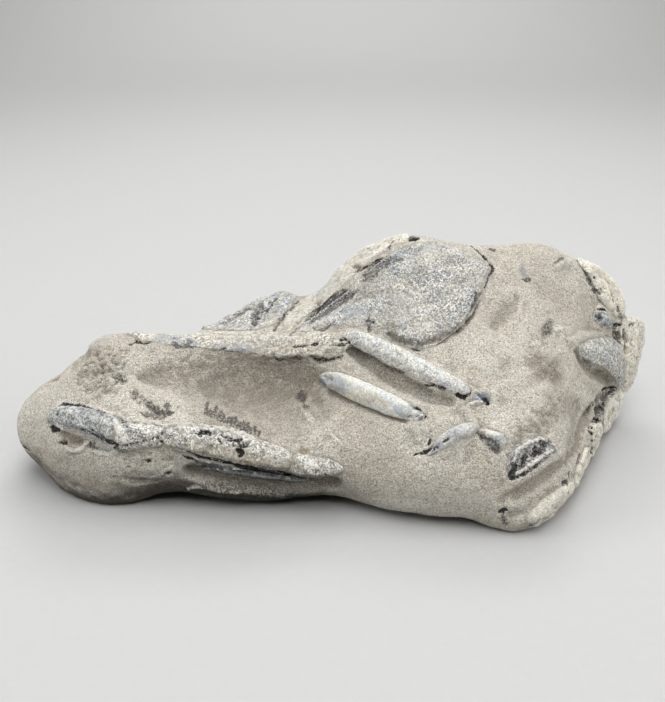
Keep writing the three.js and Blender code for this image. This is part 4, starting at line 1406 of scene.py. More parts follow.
@dataclass
class TailPlates(SubAssembly):
    """The side lobe and the plates of the tail that curl round the broad end."""

    seed: int = 53

    def pieces(self) -> tuple[Piece, ...]:
        """Lists the pieces.

        Returns:
            One entry for each CAD node of the group.
        """
        cream = ShellFinish("tail_shell", (0.83, 0.78, 0.655), (0.67, 0.64, 0.555), share=0.4, cloud=6.0,
                            stipple=0.30, dark=0.12, depth=0.25, crackle=0.3, grit=0.45)
        blue = ShellFinish("tail_pleuron_shell", (0.62, 0.60, 0.54), (0.46, 0.48, 0.48), share=0.45,
                           cloud=4.0, stipple=0.32, dark=0.28, depth=0.42, crackle=0.35, grit=0.85)
        plates = tuple(
            Piece(f"tail_segment_{number}", "tail_shell", cream, bumps=0.3, bump_size=3.0, grains=0.11)
            for number in range(1, 7)
        )
        return (Piece("tail_pleuron", "tail_shell", blue, rounds=7, bumps=0.22, bump_size=2.4, grains=0.13),
                *plates)

    def marks(self) -> tuple[Mark, ...]:
        """Lists the marks.

        Returns:
            The marks, in the order in which they are carved.
        """
        return (
            Mark(((61.6, 49.0), (62.3, 47.6), (62.8, 46.3), (63.5, 44.7), (63.8, 43.1), (64.6, 41.6),
                  (65.7, 40.3)), 1.0, -0.6, SOOT_AND_SHADE, 0.5, ragged=0.7, rough=0.3),
            Mark(((61.5, 48.0), (63.2, 44.5), (65.5, 40.5)), 1.6, 0.0, FILM, 0.5, ragged=0.8),
            Mark(((66.3, 41.8), (67.8, 40.5), (68.8, 39.8), (69.8, 38.5)), 0.6, -0.35, VEIN, 0.95,
                 ragged=0.3),
            Mark(((70.6, 38.8), (70.9, 38.6)), 0.9, -0.4, VEIN, 0.7, ragged=0.3),
            Mark(((64.7, 44.7), (65.0, 44.4)), 0.8, -0.3, VEIN, 0.6, ragged=0.3),
            Mark(((72.2, 37.0), (72.4, 36.5), (73.2, 35.2), (74.1, 34.2)), 1.1, -0.3, SOOT_AND_SHADE, 0.85,
                 ragged=0.5),
            Mark(((66.3, 47.3), (69.0, 44.7), (71.2, 41.5)), 2.6, 0.0, STAIN, 0.35, ragged=0.5),
            Mark(((67.2, 32.1), (70.7, 32.5), (73.5, 32.3)), 0.8, -0.8, VEIN, 0.8, ragged=0.3),
            Mark(((64.7, 34.2), (65.9, 33.9)), 1.7, -1.6, SOOT_AND_SHADE, 1.3, ragged=0.3),
            Mark(((65.8, 36.3), (67.1, 36.1), (68.2, 35.9)), 0.6, -0.4, VEIN, 0.95, ragged=0.2),
            Mark(((64.8, 35.6), (67.0, 35.5), (68.5, 34.8)), 0.8, 0.3, CALCITE, 0.6, ragged=0.3),
            Mark(((71.4, 31.2), (72.1, 29.7), (72.7, 28.3), (73.4, 26.7)), 1.6, -0.9, SOOT_AND_SHADE, 1.3, ragged=0.8,
                 rough=0.5, lump=1.0),
            Mark(((71.9, 30.0), (72.7, 28.3), (73.2, 27.0)), 0.8, -0.4, VEIN, 0.9, ragged=0.6),
            Mark(((56.6, 25.3), (58.6, 22.6), (60.0, 20.9), (61.9, 19.8), (64.5, 19.2), (67.9, 17.5),
                  (70.5, 15.6)), 2.2, -1.4, layer=Layer.STONE),
            # Painted shadow on the stone under the side lobe's edge.
            Mark(((58.6, 22.4), (60.4, 20.8), (62.2, 20.1), (64.0, 19.6)), 1.0, -0.5, SOOT_AND_SHADE, 0.7,
                 layer=Layer.STONE),
            # Painted shade on the lower part of the side lobe.
            Mark(((58.2, 23.2), (59.8, 21.8), (61.6, 21.0), (63.8, 20.6), (66.6, 19.2), (69.6, 17.0)), 1.4,
                 -0.9, EARTH_AND_SHADE, 0.7, layer=Layer.SHELL),
            Mark(((54.6, 27.9), (56.9, 28.3), (59.2, 28.8), (62.1, 29.3), (66.0, 29.2)), 2.2, 0.7,
                 ragged=0.3, layer=Layer.STONE),
            Mark(((63.4, 23.4), (65.5, 22.4), (67.6, 21.3)), 0.9, -0.4, ragged=0.3, layer=Layer.SHELL),
            # Painted shade along the side lobe's lower edge.
            Mark(((60.4, 21.4), (62.4, 21.0), (65.0, 19.6), (69.0, 17.1), (71.8, 15.1)), 1.9, -1.1, EARTH_AND_SHADE,
                 0.8, layer=Layer.SHELL),
            Mark(((74.6, 31.0), (75.2, 27.8), (75.0, 24.1), (74.9, 20.8), (74.9, 18.1)), 1.2, -1.1, SOOT_AND_SHADE,
                 0.6, ragged=0.4),
            Mark(((75.6, 25.9), (76.0, 24.4)), 1.3, -0.4, STAIN, 1.0, ragged=0.4),
            Mark(((76.6, 32.4), (77.9, 32.7)), 0.9, -0.3, SOOT_AND_SHADE, 0.9, ragged=0.4),
            Mark(((73.7, 16.6), (75.7, 17.3), (76.7, 18.1)), 1.0, -0.3, SOOT_AND_SHADE, 0.9, ragged=0.6),
            Mark(((75.2, 16.2), (76.8, 14.8)), 0.9, -0.3, SOOT_AND_SHADE, 0.8, ragged=0.6),
            Mark(((66.5, 15.1), (69.9, 15.4), (72.0, 15.1)), 1.4, -1.4, VEIN, 1.1, ragged=0.2),
            Mark(((63.0, 10.0), (64.8, 12.2), (66.8, 13.2), (69.0, 14.4)), 3.0, -1.8, EARTH_AND_SHADE, 1.5,
                 ragged=0.3),
            Mark(((64.6, 12.0), (66.4, 13.0), (67.8, 13.8)), 2.2, -1.0, VEIN, 0.75, ragged=0.4),
            # Painted shade in the recess along the plates' edge.
            Mark(((70.4, 15.0), (67.6, 14.2), (65.4, 12.2), (64.0, 10.4), (62.4, 8.8)), 3.0, -0.4, SOOT_AND_SHADE, 0.9,
                 ragged=0.5),
            Mark(((60.6, 12.2), (61.5, 12.6), (62.5, 13.0)), 1.0, -0.3, SOOT_AND_SHADE, 1.1, ragged=0.6),
            Mark(((58.5, 10.2), (60.5, 11.5), (61.5, 12.1)), 1.3, -0.5, SOOT_AND_SHADE, 0.7, ragged=0.4),
            Mark(((60.3, 8.0), (62.3, 8.5), (63.3, 7.7), (66.2, 5.9)), 1.1, -1.0, VEIN, 1.05, ragged=0.5),
            Mark(((62.5, 10.4), (64.1, 9.8), (62.8, 8.9)), 0.9, -0.4, SOOT_AND_SHADE, 1.0, ragged=0.5),
            Mark(((59.2, 6.9), (60.1, 6.2), (62.0, 5.0), (63.4, 3.6)), 0.6, -0.5, VEIN, 0.9, ragged=0.2),
            Mark(((60.8, 6.9), (63.8, 5.6), (66.5, 4.5)), 0.6, -0.4, VEIN, 0.85, ragged=0.2),
            Mark(((60.0, 5.8), (61.5, 4.9), (63.7, 3.9)), 0.8, 0.5, CALCITE, 0.6, ragged=0.3),
            Mark(((58.7, 6.0), (60.1, 4.8), (63.1, 3.5)), 0.6, -0.6, VEIN, 0.8, ragged=0.2),
            Mark(((59.6, 3.6), (60.2, 3.0), (59.7, 2.1), (58.9, 1.3)), 0.8, -0.4, SOOT_AND_SHADE, 1.1, ragged=0.6),
            Mark(((58.4, 1.2), (60.8, 0.1)), 0.9, -0.7, VEIN, 1.05, ragged=0.3),
            # Painted shadow in the valley left of the plates.
            Mark(((60.4, 11.0), (57.5, 8.0), (55.2, 5.4), (54.2, 3.0), (52.4, 1.2)), 2.2, -0.8, EARTH_AND_SHADE, 0.35,
                 ragged=0.3, layer=Layer.STONE),
            Mark(((69.3, 12.7), (72.0, 10.8), (71.2, 9.0)), 1.8, 0.4, CALCITE, 0.7, ragged=0.6),
            Mark(((55.9, 0.9), (55.0, -0.8), (54.1, -2.5)), 0.9, 0.3, CALCITE, 0.5, ragged=0.3),
            Mark(((54.6, 1.1), (53.6, -0.7)), 0.8, -0.3, SOOT_AND_SHADE, 0.6, ragged=0.4),
            Mark(((50.5, -2.2), (50.7, -3.4)), 0.9, -0.4, SOOT_AND_SHADE, 1.1, ragged=0.5),
            Mark(((48.3, -4.1), (49.4, -4.5), (50.9, -4.2)), 0.9, -0.4, SOOT_AND_SHADE, 1.0, ragged=0.6),
            Mark(((49.2, -6.9), (50.0, -6.4)), 0.9, -0.3, SOOT_AND_SHADE, 0.9, ragged=0.5),
            Mark(((39.9, -12.5), (43.5, -11.0), (47.8, -8.3)), 1.6, -0.2, VEIN, 0.45, ragged=1.0, rough=0.4,
                 lump=1.2),
        )


@dataclass
class Sandstone:
    """The block of sandstone that holds the fossils.

    Args:
        voxel: Width of its polygons in millimetres, halved on the show face.
        cover: How far the stone first covers each fossil.
        groove_reach: How far from a fossil it is worn back.
        lap_reach: How far from its own solid it may still lap over a fossil.
        rim_reach: How far from a fossil its darkened rim reaches.
        teeth: How many bristles the comb above the claw's arm has.
        seed: Seed of its random relief.
        skin: Its skin, once it is cast.
    """

    voxel: float = 1.16
    cover: float = 0.35
    groove_reach: float = 0.75
    lap_reach: float = 1.8
    rim_reach: float = 1.3
    teeth: int = 17
    seed: int = 5
    skin: Skin | None = None

    def build(self, fossils: list[str]) -> None:
        """Casts the stone with every fossil still covered.

        Args:
            fossils: The fossils' CAD nodes.
        """
        nodes = {"stone": 0.0, **{node: self.cover for node in fossils}}
        self.skin = cast_skin("stone_skin", nodes, self.voxel, Layer.STONE)
        self.skin.smooth(3)
        self.skin.refine(self.skin.looking(Face.SHOW, 0.0))
        self.skin.smooth(2)

    def wear_back(self, groups: list[SubAssembly]) -> None:
        """Wears the stone back until the fossils stand out of it.

        Args:
            groups: The fossils.
        """
        bare = BVHTree.FromPolygons(*solid_points("stone", 0.0))
        # Near its own solid the stone still laps over the fossils, in tongues.
        rim = eased(self.skin.closeness(bare, self.skin.box(), self.lap_reach), 0.35, 0.75)
        tongues = Noise(self.seed + 1).layered(self.skin.points, size=3.0, layers=2)
        lap = rim * eased(tongues, -0.35, 0.25)
        # Round each fossil it is worn back, down to as far as that fossil stands out.
        depth = np.zeros(len(self.skin.points))
        for group in groups:
            for piece in group.pieces():
                fossil = group.skins[piece.node]
                near = self.skin.closeness(fossil.tree(), fossil.box(), self.groove_reach)
                depth = np.maximum(depth, eased(near, 0.0, 0.8) * piece.proud * (1 - piece.creep * lap))
        self.skin.points = self.skin.points - self.skin.normals() * depth[:, None]
        self.skin.smooth(2, 0.4 * eased(depth, 0.0, 0.5)[:, None])

    def swells(self) -> list[Mark]:
        """Lists the wide swells and hollows that shape stone and fossils together.

        Returns:
            The marks, in the order in which they are carved.
        """
        return [
            Mark(((-66.6, 22.4), (-63.5, 24.4)), 5.0, -1.6),
            Mark(((-48.6, 19.6), (-38.6, 19.8), (-27.7, 18.7), (-20.0, 18.4), (-11.0, 18.6), (-3.9, 18.8)),
                 8.0, -2.0, taper=0.85),
            Mark(((-34.1, 17.6), (-14.6, 15.7), (-6.8, 14.1)), 8.0, -1.0, taper=0.7),
            # Painted shade in the hollow under the ledge.
            Mark(((-38.8, 19.0), (-22.8, 16.4), (-12.6, 16.2), (-0.5, 17.0)), 15.0, 0.0, EARTH_AND_SHADE, 0.58,
                 taper=0.8),
            Mark(((-15.5, 24.0), (-11.0, 24.4), (-3.9, 25.6), (0.8, 26.6)), 1.7, 0.5, ragged=0.7, rough=0.3),
            # Painted shade on the underside below the claw's arm, with the cut.
            Mark(((-34.5, -1.8), (-26.0, -3.2), (-15.0, -4.8), (-3.0, -4.6)), 4.0, -2.0, EARTH_AND_SHADE, 0.72,
                 layer=Layer.STONE),
            # Painted shade on the underside of the narrow end.
            Mark(((-32.0, -5.5), (-20.0, -7.5), (-8.0, -8.5)), 4.0, 0.0, SOOT_AND_SHADE, 0.5, layer=Layer.STONE),
            # Painted shadow in the groove under the upper leg.
            Mark(((1.3, 25.2), (6.6, 21.4), (12.2, 18.0), (17.7, 15.6), (23.1, 14.1)), 2.6, -1.8, SOOT_AND_SHADE, 0.3,
                 layer=Layer.STONE),
            Mark(((-3.9, 15.9), (2.9, 13.4), (8.4, 11.3), (12.8, 10.0)), 2.0, -1.2, layer=Layer.STONE),
            Mark(((35.5, 31.4), (39.3, 33.9), (43.0, 36.2)), 5.0, -0.6),
            Mark(((43.4, 23.5), (46.6, 27.1), (50.9, 30.8)), 4.5, -0.5),
            Mark(((37.6, 22.1), (40.4, 19.6), (44.2, 20.5)), 6.0, -0.4),
            Mark(((39.2, 16.1), (34.4, 14.4)), 4.0, -0.3),
            Mark(((45.4, 3.1), (39.8, -1.9), (35.1, -3.9)), 3.0, 0.9),
            # Painted shade in the valley between the two folds.
            Mark(((51.5, 1.1), (44.6, -2.8), (39.7, -4.9), (37.0, -6.4)), 3.6, -0.7, EARTH_AND_SHADE, 0.2),
            Mark(((53.6, -5.1), (48.1, -6.6), (42.0, -9.5), (36.6, -11.8)), 3.2, 0.8),
            # Painted shade in the valley left of the plates.
            Mark(((60.6, 11.2), (54.8, 8.2), (52.3, 3.6), (50.8, -0.3)), 4.0, -0.8, EARTH_AND_SHADE, 0.3),
            Mark(((18.2, 7.9), (27.1, 9.0), (33.6, 8.0)), 8.0, 1.0),
            # Painted shade in the hollow between the bulge and the side lobe.
            Mark(((46.9, 14.3), (52.0, 12.0), (56.1, 12.3)), 5.0, -0.7, EARTH_AND_SHADE, 0.3),
        ]

    def marks(self) -> tuple[Mark, ...]:
        """Lists the marks.

        Returns:
            The marks, in the order in which they are carved.
        """
        return (
            Mark(((-61.0, 26.0), (-52.6, 25.2), (-51.2, 20.5), (-52.7, 15.9), (-60.7, 15.9), (-63.4, 20.4)),
                 1.5, -0.2, ragged=1.0, rough=1.35, lump=1.7, shape=Shape.PATCH),
            Mark(((-59.6, 20.1), (-57.7, 20.4), (-56.0, 20.6)), 1.1, -1.0, SOOT_AND_SHADE, 0.2, ragged=0.4),
            Mark(((-64.0, 20.0), (-62.0, 20.4)), 1.0, -0.8, SOOT_AND_SHADE, 0.12, ragged=0.5),
            Mark(((-57.9, 18.3), (-56.6, 18.6)), 0.9, -0.8, SOOT_AND_SHADE, 0.16, ragged=0.4),
            Mark(((-60.4, 16.0), (-58.6, 16.7)), 1.0, -0.8, SOOT_AND_SHADE, 0.12, ragged=0.4),
            Mark(((-57.5, 16.1), (-55.7, 16.8), (-54.6, 17.9)), 1.0, 0.5, ragged=0.3),
            Mark(((-60.0, 21.9), (-58.2, 22.3), (-56.4, 23.0)), 1.1, 0.5, ragged=0.4),
            Mark(((-62.6, 21.8), (-61.2, 22.4)), 1.2, 0.5, ragged=0.4),
            Mark(((-55.4, 21.0), (-53.4, 20.2), (-51.6, 18.8)), 1.3, -0.3, SOOT_AND_SHADE, 0.5, ragged=0.8, rough=0.5,
                 lump=0.8),
            Mark(((-53.6, 19.3), (-52.2, 18.3)), 0.8, -0.3, SOOT_AND_SHADE, 0.9, ragged=0.6),
            Mark(((-49.9, 16.0), (-47.6, 14.6), (-45.4, 13.1), (-43.0, 12.0), (-40.2, 11.5)), 1.5, -0.3,
                 SOOT_AND_SHADE, 0.6, ragged=0.8, rough=0.5, lump=0.8),
            Mark(((-46.0, 13.0), (-44.0, 12.2), (-42.9, 11.6), (-41.1, 11.6), (-39.4, 11.5)), 1.0, -0.4,
                 SOOT_AND_SHADE, 1.15, ragged=0.4),
            Mark(((-46.5, 11.0), (-43.2, 10.7), (-40.0, 11.0)), 1.4, -0.3, SOOT_AND_SHADE, 0.6, ragged=0.5),
            Mark(((-41.1, 13.2), (-40.8, 12.3)), 0.8, -0.2, SOOT_AND_SHADE, 1.0, ragged=0.4),
            Mark(((-77.0, 2.2), (-75.4, 1.9)), 0.9, -0.4, VEIN, 0.9, ragged=0.4),
            Mark(((-54.3, 3.0), (-48.1, 2.0), (-43.9, 2.3)), 1.2, -0.2, ragged=0.4),
            Mark(((-50.0, 0.6), (-45.1, 0.9), (-39.2, 1.2)), 1.2, -0.15, ragged=0.4),
            Mark(((-52.2, -3.2), (-46.8, -4.2), (-42.2, -3.7)), 1.2, -0.12, ragged=0.4),
            Mark(((-54.0, 3.0), (-38.0, 3.0), (-37.0, -3.0), (-50.0, -4.0)), 2.0, 0.0, ragged=1.0, rough=0.1,
                 lump=1.4, shape=Shape.PATCH),
            Mark(((-41.3, -2.2), (-39.0, -0.2)), 0.7, 0.2, CALCITE, 0.7, ragged=0.2),
            Mark(((-44.8, 0.7), (-44.0, 0.7)), 0.8, -0.4, VEIN, 0.7, ragged=0.3),
            Mark(((-49.4, -0.7), (-48.6, -0.7)), 0.7, -0.4, VEIN, 0.6, ragged=0.3),
            Mark(((-40.6, -2.1), (-39.6, -2.1)), 0.7, -0.4, VEIN, 0.6, ragged=0.3),
            Mark(((-35.8, -6.0), (-33.8, -5.4), (-29.3, -6.4), (-24.2, -6.5)), 1.2, 0.5, ragged=0.4),
            Mark(((-16.8, 24.4), (-14.6, 24.3), (-11.0, 24.8), (-9.1, 25.6), (-7.2, 24.9)), 0.7, 0.3,
                 CALCITE, 0.3, ragged=0.7, rough=0.4, lump=1.0),
            Mark(((-7.2, 24.9), (-4.9, 24.1), (-2.5, 24.8), (-0.8, 25.7), (0.3, 26.9)), 0.9, 0.35, CALCITE,
                 0.35, ragged=0.6, rough=0.4, lump=1.0),
            Mark(((-17.2, 23.5), (-13.9, 23.4), (-10.6, 23.9), (-8.6, 24.4)), 0.6, -0.3, SOOT_AND_SHADE, 0.6,
                 ragged=0.8),
            Mark(((-8.6, 24.2), (-6.3, 23.1), (-3.4, 23.2), (-1.1, 24.1), (0.6, 25.4)), 0.7, -0.5, SOOT_AND_SHADE,
                 0.45, ragged=0.8),
            Mark(((-24.0, 25.0), (-21.0, 24.4), (-18.0, 24.5)), 1.6, 0.25, ragged=1.0, rough=0.5),
            Mark(((-41.0, 22.9), (-36.0, 23.6), (-30.0, 23.4)), 1.8, 0.2, ragged=1.2, rough=0.6),
            Mark(((-7.4, 23.6), (-4.4, 23.3), (-2.0, 23.9)), 0.6, -0.4, VEIN, 0.8, ragged=0.3),
            # Painted shadow right under the upper leg.
            Mark(((1.3, 26.4), (3.6, 26.2), (5.9, 24.8), (8.1, 23.1), (10.4, 21.6), (12.7, 20.6)), 1.6, -1.2,
                 SOOT_AND_SHADE, 0.8, layer=Layer.STONE),
            Mark(((-1.1, 28.2), (0.8, 28.5), (2.6, 28.0), (4.3, 27.5)), 0.7, -0.5, VEIN, 0.95, ragged=0.4),
            Mark(((-0.1, 27.3), (2.2, 27.7), (4.0, 27.3)), 0.5, -0.3, VEIN, 0.8, ragged=0.3),
            Mark(((-13.4, 26.1), (-11.0, 26.6), (-6.8, 27.1)), 0.6, -0.3, VEIN, 0.8, ragged=0.3),
            Mark(((-3.9, 26.8), (-0.4, 27.0)), 0.6, -0.2, VEIN, 0.7, ragged=0.3),
            Mark(((1.5, 27.3), (4.3, 27.0), (5.6, 26.6)), 0.7, -0.4, VEIN, 0.9, ragged=0.3),
            Mark(((-51.9, 27.0), (-50.4, 27.8), (-48.8, 27.3), (-47.2, 27.5)), 0.4, -0.3, VEIN, 0.62,
                 ragged=0.4),
            Mark(((-38.4, 28.9), (-36.4, 28.6), (-35.4, 28.6)), 0.6, -0.2, VEIN, 0.85, ragged=0.2),
            Mark(((-45.7, 28.3), (-42.4, 28.4), (-38.7, 27.8), (-35.4, 26.9)), 2.0, 0.0, FILM, 1.1,
                 ragged=0.8),
            Mark(((-43.0, 28.6), (-39.6, 27.9), (-36.6, 27.2)), 0.7, -0.1, SOOT_AND_SHADE, 0.55, ragged=0.7),
            Mark(((-41.7, 26.9), (-38.3, 26.3), (-35.9, 26.3)), 0.9, -0.2, SOOT_AND_SHADE, 0.8, ragged=0.7),
            Mark(((-31.1, 26.3), (-25.3, 26.1), (-21.0, 25.6)), 1.4, 0.0, FILM, 0.9, ragged=0.7),
            Mark(((-30.6, 25.6), (-28.2, 26.3)), 0.6, -0.2, VEIN, 0.75, ragged=0.2),
            Mark(((-10.8, 15.2), (-10.2, 14.2)), 2.3, -0.3, SOOT_AND_SHADE, 1.2, ragged=0.4, rough=0.3),
            Mark(((-10.2, 14.0), (-9.4, 12.0)), 1.0, -0.2, SOOT_AND_SHADE, 0.8, ragged=0.6),
            Mark(((-10.3, 11.8), (-8.6, 10.6)), 1.3, 0.3, CALCITE, 0.5, ragged=0.6),
            Mark(((-10.4, 3.4), (-9.4, 3.4)), 1.7, -0.4, STAIN, 0.7, ragged=0.5),
            Mark(((-3.7, 6.9), (-1.9, 5.4)), 0.6, 0.15, CALCITE, 0.7, ragged=0.1),
            Mark(((-9.4, 11.5), (-7.7, 9.4)), 1.0, 0.0, CALCITE, 0.5, ragged=0.8),
            Mark(((28.0, 20.8), (29.2, 21.8), (30.3, 20.8), (29.2, 19.9), (28.0, 20.8)), 0.7, 0.0, STAIN,
                 0.7, ragged=0.3),
            Mark(((44.5, 46.4), (44.9, 43.6)), 1.9, -0.2, FILM, 1.3, ragged=0.5),
            Mark(((44.2, 43.3), (45.8, 43.2)), 0.9, -0.3, SOOT_AND_SHADE, 0.9, ragged=0.4),
            Mark(((41.6, 38.4), (38.6, 34.9), (35.7, 31.6)), 3.2, -0.6, SOOT_AND_SHADE, 0.14, ragged=0.4),
            Mark(((50.3, 32.3), (49.3, 31.0), (47.8, 29.2)), 2.0, -0.5, SOOT_AND_SHADE, 0.5, ragged=0.5, rough=0.4),
            Mark(((50.6, 31.2), (52.9, 30.6)), 1.1, 0.3, CALCITE, 0.9, ragged=0.7),
            Mark(((44.0, 26.8), (46.4, 27.6)), 1.1, 0.4, CALCITE, 0.5, ragged=0.6),
            Mark(((50.6, 27.8), (43.2, 24.5), (35.2, 19.9)), 5.0, -0.35),
            Mark(((42.8, 25.2), (44.1, 21.4), (42.0, 17.8)), 5.0, -0.3),
            Mark(((55.8, 48.3), (53.6, 46.5)), 1.3, 0.5, CALCITE, 0.4, ragged=0.5),
            Mark(((56.4, 49.4), (53.8, 47.8)), 0.9, -0.3, EARTH_AND_SHADE, 0.9, ragged=0.5),
            Mark(((37.4, 6.6), (40.4, 9.8), (44.2, 12.6), (48.6, 14.0), (49.8, 11.6), (46.8, 8.8),
                  (42.6, 6.8)), 1.6, -0.3, EARTH_AND_SHADE, 0.62, ragged=1.2, rough=0.3, lump=1.2, shape=Shape.PATCH),
            # Painted shade in the hollow on the broad end's slope.
            Mark(((46.5, 22.4), (48.5, 20.2)), 7.0, 0.0, EARTH_AND_SHADE, 0.9),
            Mark(((17.0, 8.0), (24.0, 9.0), (30.0, 11.0)), 7.0, 0.0, CALCITE, 0.26, ragged=1.5),
            # Pale dust under the arch, laid strongly as painted light on this low ground.
            Mark(((7.0, -8.5), (16.0, -9.5), (26.0, -10.5)), 4.5, 0.0, CALCITE, 0.48, ragged=1.2),
            Mark(((18.5, -2.5), (26.5, -4.0), (32.0, -3.2)), 6.0, 0.0, EARTH_AND_SHADE, 0.28, ragged=1.2),
            Mark(((42.0, -8.0), (48.0, -8.6), (53.0, -6.0)), 4.0, 0.0, CALCITE, 0.33, ragged=1.2),
            Mark(((36.3, -2.9), (40.9, -0.5), (47.6, 2.4)), 1.8, 0.7, ragged=0.3),
            Mark(((32.8, -7.0), (37.3, -4.3), (43.4, -1.6), (47.5, 0.4)), 2.6, -0.5, ragged=0.4),
            Mark(((35.1, -8.6), (42.0, -5.0), (49.1, -1.4)), 2.0, 0.6, ragged=0.4),
            Mark(((32.9, -9.4), (34.2, -9.0)), 0.9, -0.3, VEIN, 0.9, ragged=0.4),
            Mark(((33.6, -10.3), (34.3, -12.6)), 0.8, 0.0, SOOT_AND_SHADE, 0.8, ragged=0.6),
            Mark(((37.3, 51.6), (38.0, 51.2)), 0.9, -0.2, SOOT_AND_SHADE, 0.9, ragged=0.5),
            Mark(((-48.0, 10.0), (-30.0, 14.0), (-12.0, 9.0)), 9.0, -1.4, EARTH_AND_SHADE, 0.3, face=Face.BACK),
            Mark(((8.0, 16.0), (22.0, 10.0), (34.0, 12.0)), 7.0, -1.2, EARTH_AND_SHADE, 0.25, face=Face.BACK),
            Mark(((-20.0, 2.0), (-2.0, 4.0), (14.0, -1.0)), 6.0, 0.9, face=Face.BACK),
            Mark(((-56.0, 18.0), (-47.0, 21.0), (-40.0, 19.0), (-33.0, 22.5)), 0.7, -0.4, SOOT_AND_SHADE, 0.7,
                 ragged=0.7, face=Face.BACK),
            Mark(((-8.0, 17.0), (-1.0, 14.0), (3.0, 15.0)), 0.7, -0.3, SOOT_AND_SHADE, 0.6, ragged=0.6,
                 face=Face.BACK),
            Mark(((26.0, 3.0), (34.0, 6.0), (41.0, 4.0), (36.0, -1.0)), 2.5, -0.3, STAIN, 0.5, ragged=1.4,
                 rough=0.3, shape=Shape.PATCH, face=Face.BACK),
            Mark(((-36.0, 2.0), (-29.0, 5.0), (-24.0, 1.0), (-30.0, -3.0)), 2.0, -0.4, ragged=1.4, rough=0.9,
                 lump=2.2, shape=Shape.PATCH, face=Face.BACK),
            Mark(((48.0, 8.0), (52.0, 11.0)), 2.2, -0.8, SOOT_AND_SHADE, 0.4, ragged=0.8, face=Face.BACK),
            Mark(((14.0, 21.0), (16.5, 20.0)), 1.8, -0.7, SOOT_AND_SHADE, 0.4, ragged=0.6, face=Face.BACK),
            Mark(((-12.0, 22.0), (-4.0, 15.0), (6.0, 18.0)), 6.0, -1.0, EARTH_AND_SHADE, 0.25, face=Face.LEFT),
            Mark(((2.0, 8.0), (8.0, 11.0)), 1.6, -0.5, SOOT_AND_SHADE, 0.4, ragged=0.8, face=Face.LEFT),
        )

    def fringe(self) -> tuple[Mark, ...]:
        """Draws the comb of short dark bristles above the claw's arm.

        Returns:
            One mark for each bristle.
        """
        draw = np.random.default_rng(self.seed)
        base = np.array([(-32.3, 11.4), (-28.7, 9.8), (-24.0, 7.8), (-19.9, 6.6)])
        stations = [0, 0.3, 0.68, 1]
        shares = np.linspace(0, 1, self.teeth)
        rights = np.interp(shares, stations, base[:, 0])
        ups = np.interp(shares, stations, base[:, 1])
        marks = []
        for right, up in zip(rights, ups):
            tall = draw.uniform(0.8, 2.3)
            lean = draw.uniform(-0.4, 0.3)
            marks.append(Mark(((right, up), (right + lean, up + tall)), 0.6, -0.15, SOOT_AND_SHADE,
                              draw.uniform(0.9, 1.3), ragged=0.2, taper=0.2))
        return tuple(marks)

    def roughen(self) -> None:
        """Gives the stone its random relief."""
        noise = Noise(self.seed)
        self.skin.roughen(noise, size=9.0, height=0.28, layers=3)
        self.skin.roughen(noise, size=1.5, height=0.07, layers=2)
        self.skin.points[:, 2] = np.maximum(self.skin.points[:, 2], 0.0)

    def find_rims(self, fossils: list[Skin]) -> None:
        """Notes where the stone meets the fossils."""
        rims = [self.skin.closeness(fossil.tree(), fossil.box(), self.rim_reach) for fossil in fossils]
        self.skin.attribute("rim", np.max(rims, axis=0))

    def dress(self) -> None:
        """Finishes the stone."""
        self.skin.hand_over("stone", "sandstone", SandstoneFinish().material())


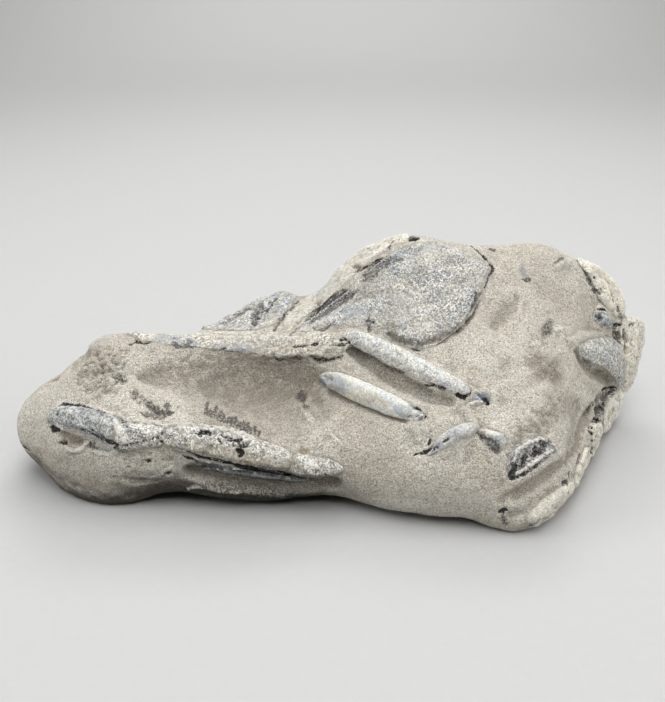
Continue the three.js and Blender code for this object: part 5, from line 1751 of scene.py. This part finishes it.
@dataclass
class Studio:
    """Camera, pale floor and soft light.

    Args:
        distance: From the eye to the middle of the specimen, in metres.
        lens: Focal length in millimetres, on a sensor 36 mm high.
        height: Height of the point that the eye looks at.
        aside: That point's place along X and Y.
        sky: Grey of the light from all round.
        sky_strength: Its strength.
        floor_half: Half the floor's width, and how far it comes forward.
        floor_back: Where it starts to curve up.
        floor_bend: Radius of that curve.
        floor_top: Height of its upper edge.
    """

    distance: float = 0.240
    lens: float = 51.28
    height: float = 0.030
    aside: Spot = (-0.0042530, -0.0065348)
    sky: float = 0.80
    sky_strength: float = 0.05
    floor_half: float = 4.0
    floor_back: float = 1.0
    floor_bend: float = 0.5
    floor_top: float = 2.0

    def build(self) -> None:
        """Sets everything up."""
        self.camera()
        self.floor()
        self.lamp("overhead", (0.0, 0.05, 0.60), 0.40, 1.35)
        self.lamp("overhead_front", (0.0, -0.35, 0.60), 0.40, 2.5)
        self.lamp("overhead_back", (0.0, 0.40, 0.50), 0.40, 1.2)
        self.lamp("left", (-0.60, -0.10, 0.30), 0.40, 1.6)
        self.lamp("right", (0.60, -0.10, 0.30), 0.40, 1.8)
        self.lamp("backdrop", (0.0, 1.10, 0.90), 0.80, 9.0, (0.0, 1.30, 0.0))
        world = bpy.data.worlds.new("studio")
        world.use_nodes = True
        background = world.node_tree.nodes["Background"]
        background.inputs["Color"].default_value = (self.sky, self.sky, self.sky, 1.0)
        background.inputs["Strength"].default_value = self.sky_strength
        bpy.context.scene.world = world
        bpy.context.scene.view_settings.view_transform = "Standard"

    def camera(self) -> None:
        """Places the camera square to the show face."""
        out = Vector(Face.SHOW.axes()[2])
        target = Vector((*self.aside, self.height))
        data = bpy.data.cameras.new("eye")
        data.lens = self.lens
        data.sensor_width = 36.0
        data.clip_start = 0.005
        eye = bpy.data.objects.new("eye", data)
        bpy.context.scene.collection.objects.link(eye)
        eye.location = target + out * self.distance
        eye.rotation_mode = "QUATERNION"
        eye.rotation_quaternion = (-out).to_track_quat("-Z", "Y")
        bpy.context.scene.camera = eye

    def floor(self) -> None:
        """Lays a wide sheet that curves up far behind."""
        back, bend = self.floor_back, self.floor_bend
        profile = [(-self.floor_half, 0.0), (back, 0.0)]
        profile += [(back + bend * math.sin(angle), bend - bend * math.cos(angle))
                    for angle in np.linspace(0, math.pi / 2, 13)[1:]]
        profile.append((back + bend, self.floor_top))
        points = [(side, along, up) for along, up in profile for side in (-self.floor_half, self.floor_half)]
        rows = range(len(profile) - 1)
        faces = [(2 * row, 2 * row + 1, 2 * row + 3, 2 * row + 2) for row in rows]
        mesh = bpy.data.meshes.new("floor")
        mesh.from_pydata(points, [], faces)
        mesh.polygons.foreach_set("use_smooth", [True] * len(mesh.polygons))
        graph = Graph("paper", 0.9, 0.2)
        fibre = graph.noise(3.0, 3.0, 0.6)
        colour = graph.mix(fibre, (0.50, 0.50, 0.50), (0.53, 0.53, 0.52))
        mesh.materials.append(graph.finish(colour, fibre, 0.02))
        floor = bpy.data.objects.new("floor", mesh)
        bpy.context.scene.collection.objects.link(floor)

    def lamp(self, name: str, place: Place, size: float, power: float, aim: Place = (0.0, 0.0, 0.02)) -> None:
        """Hangs one soft lamp.

        Args:
            name: Its name.
            place: Where it hangs, in metres.
            size: Width of its square.
            power: Its power in watts.
            aim: What it looks at, the specimen as a rule.
        """
        data = bpy.data.lights.new(name, "AREA")
        data.size = size
        data.energy = power
        lamp = bpy.data.objects.new(name, data)
        bpy.context.scene.collection.objects.link(lamp)
        lamp.location = place
        lamp.rotation_mode = "QUATERNION"
        lamp.rotation_quaternion = (Vector(aim) - Vector(place)).to_track_quat("-Z", "Y")


def main() -> None:
    """Builds the specimen piece by piece, then the studio around it."""
    logging.basicConfig(level=logging.INFO, format="%(message)s")
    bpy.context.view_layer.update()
    groups = [HeadShield(), FrontClaw(), WalkingLegs(), DarkInfill(), TailPlates()]
    for group in groups:
        group.build()
        LOG.info("%s cast", type(group).__name__)
    stone = Sandstone()
    stone.build([piece.node for group in groups for piece in group.pieces()])
    LOG.info("stone cast")
    fossils = [skin for group in groups for skin in group.skins.values()]
    noise = Noise(WANDER_SEED)
    stone.wear_back(groups)
    outside = Relief(stone.skin.tree())
    for skin in [stone.skin, *fossils]:
        skin.carve(stone.swells(), outside, noise)
    relief = Relief(stone.skin.tree())
    marks = [mark for group in [*groups, stone] for mark in group.marks()]
    marks += stone.fringe()
    for skin in [stone.skin, *fossils]:
        skin.refine(skin.lined(marks, relief, NARROW_REACH))
        skin.carve(marks, relief, noise)
        LOG.info("%s carved", skin.name)
    stone.roughen()
    for group in groups:
        group.roughen()
    for group in groups:
        group.find_rims(stone.skin)
    stone.find_rims(fossils)
    for part in [*groups, stone]:
        part.dress()
    Studio().build()


if __name__ == "__main__":
    main()
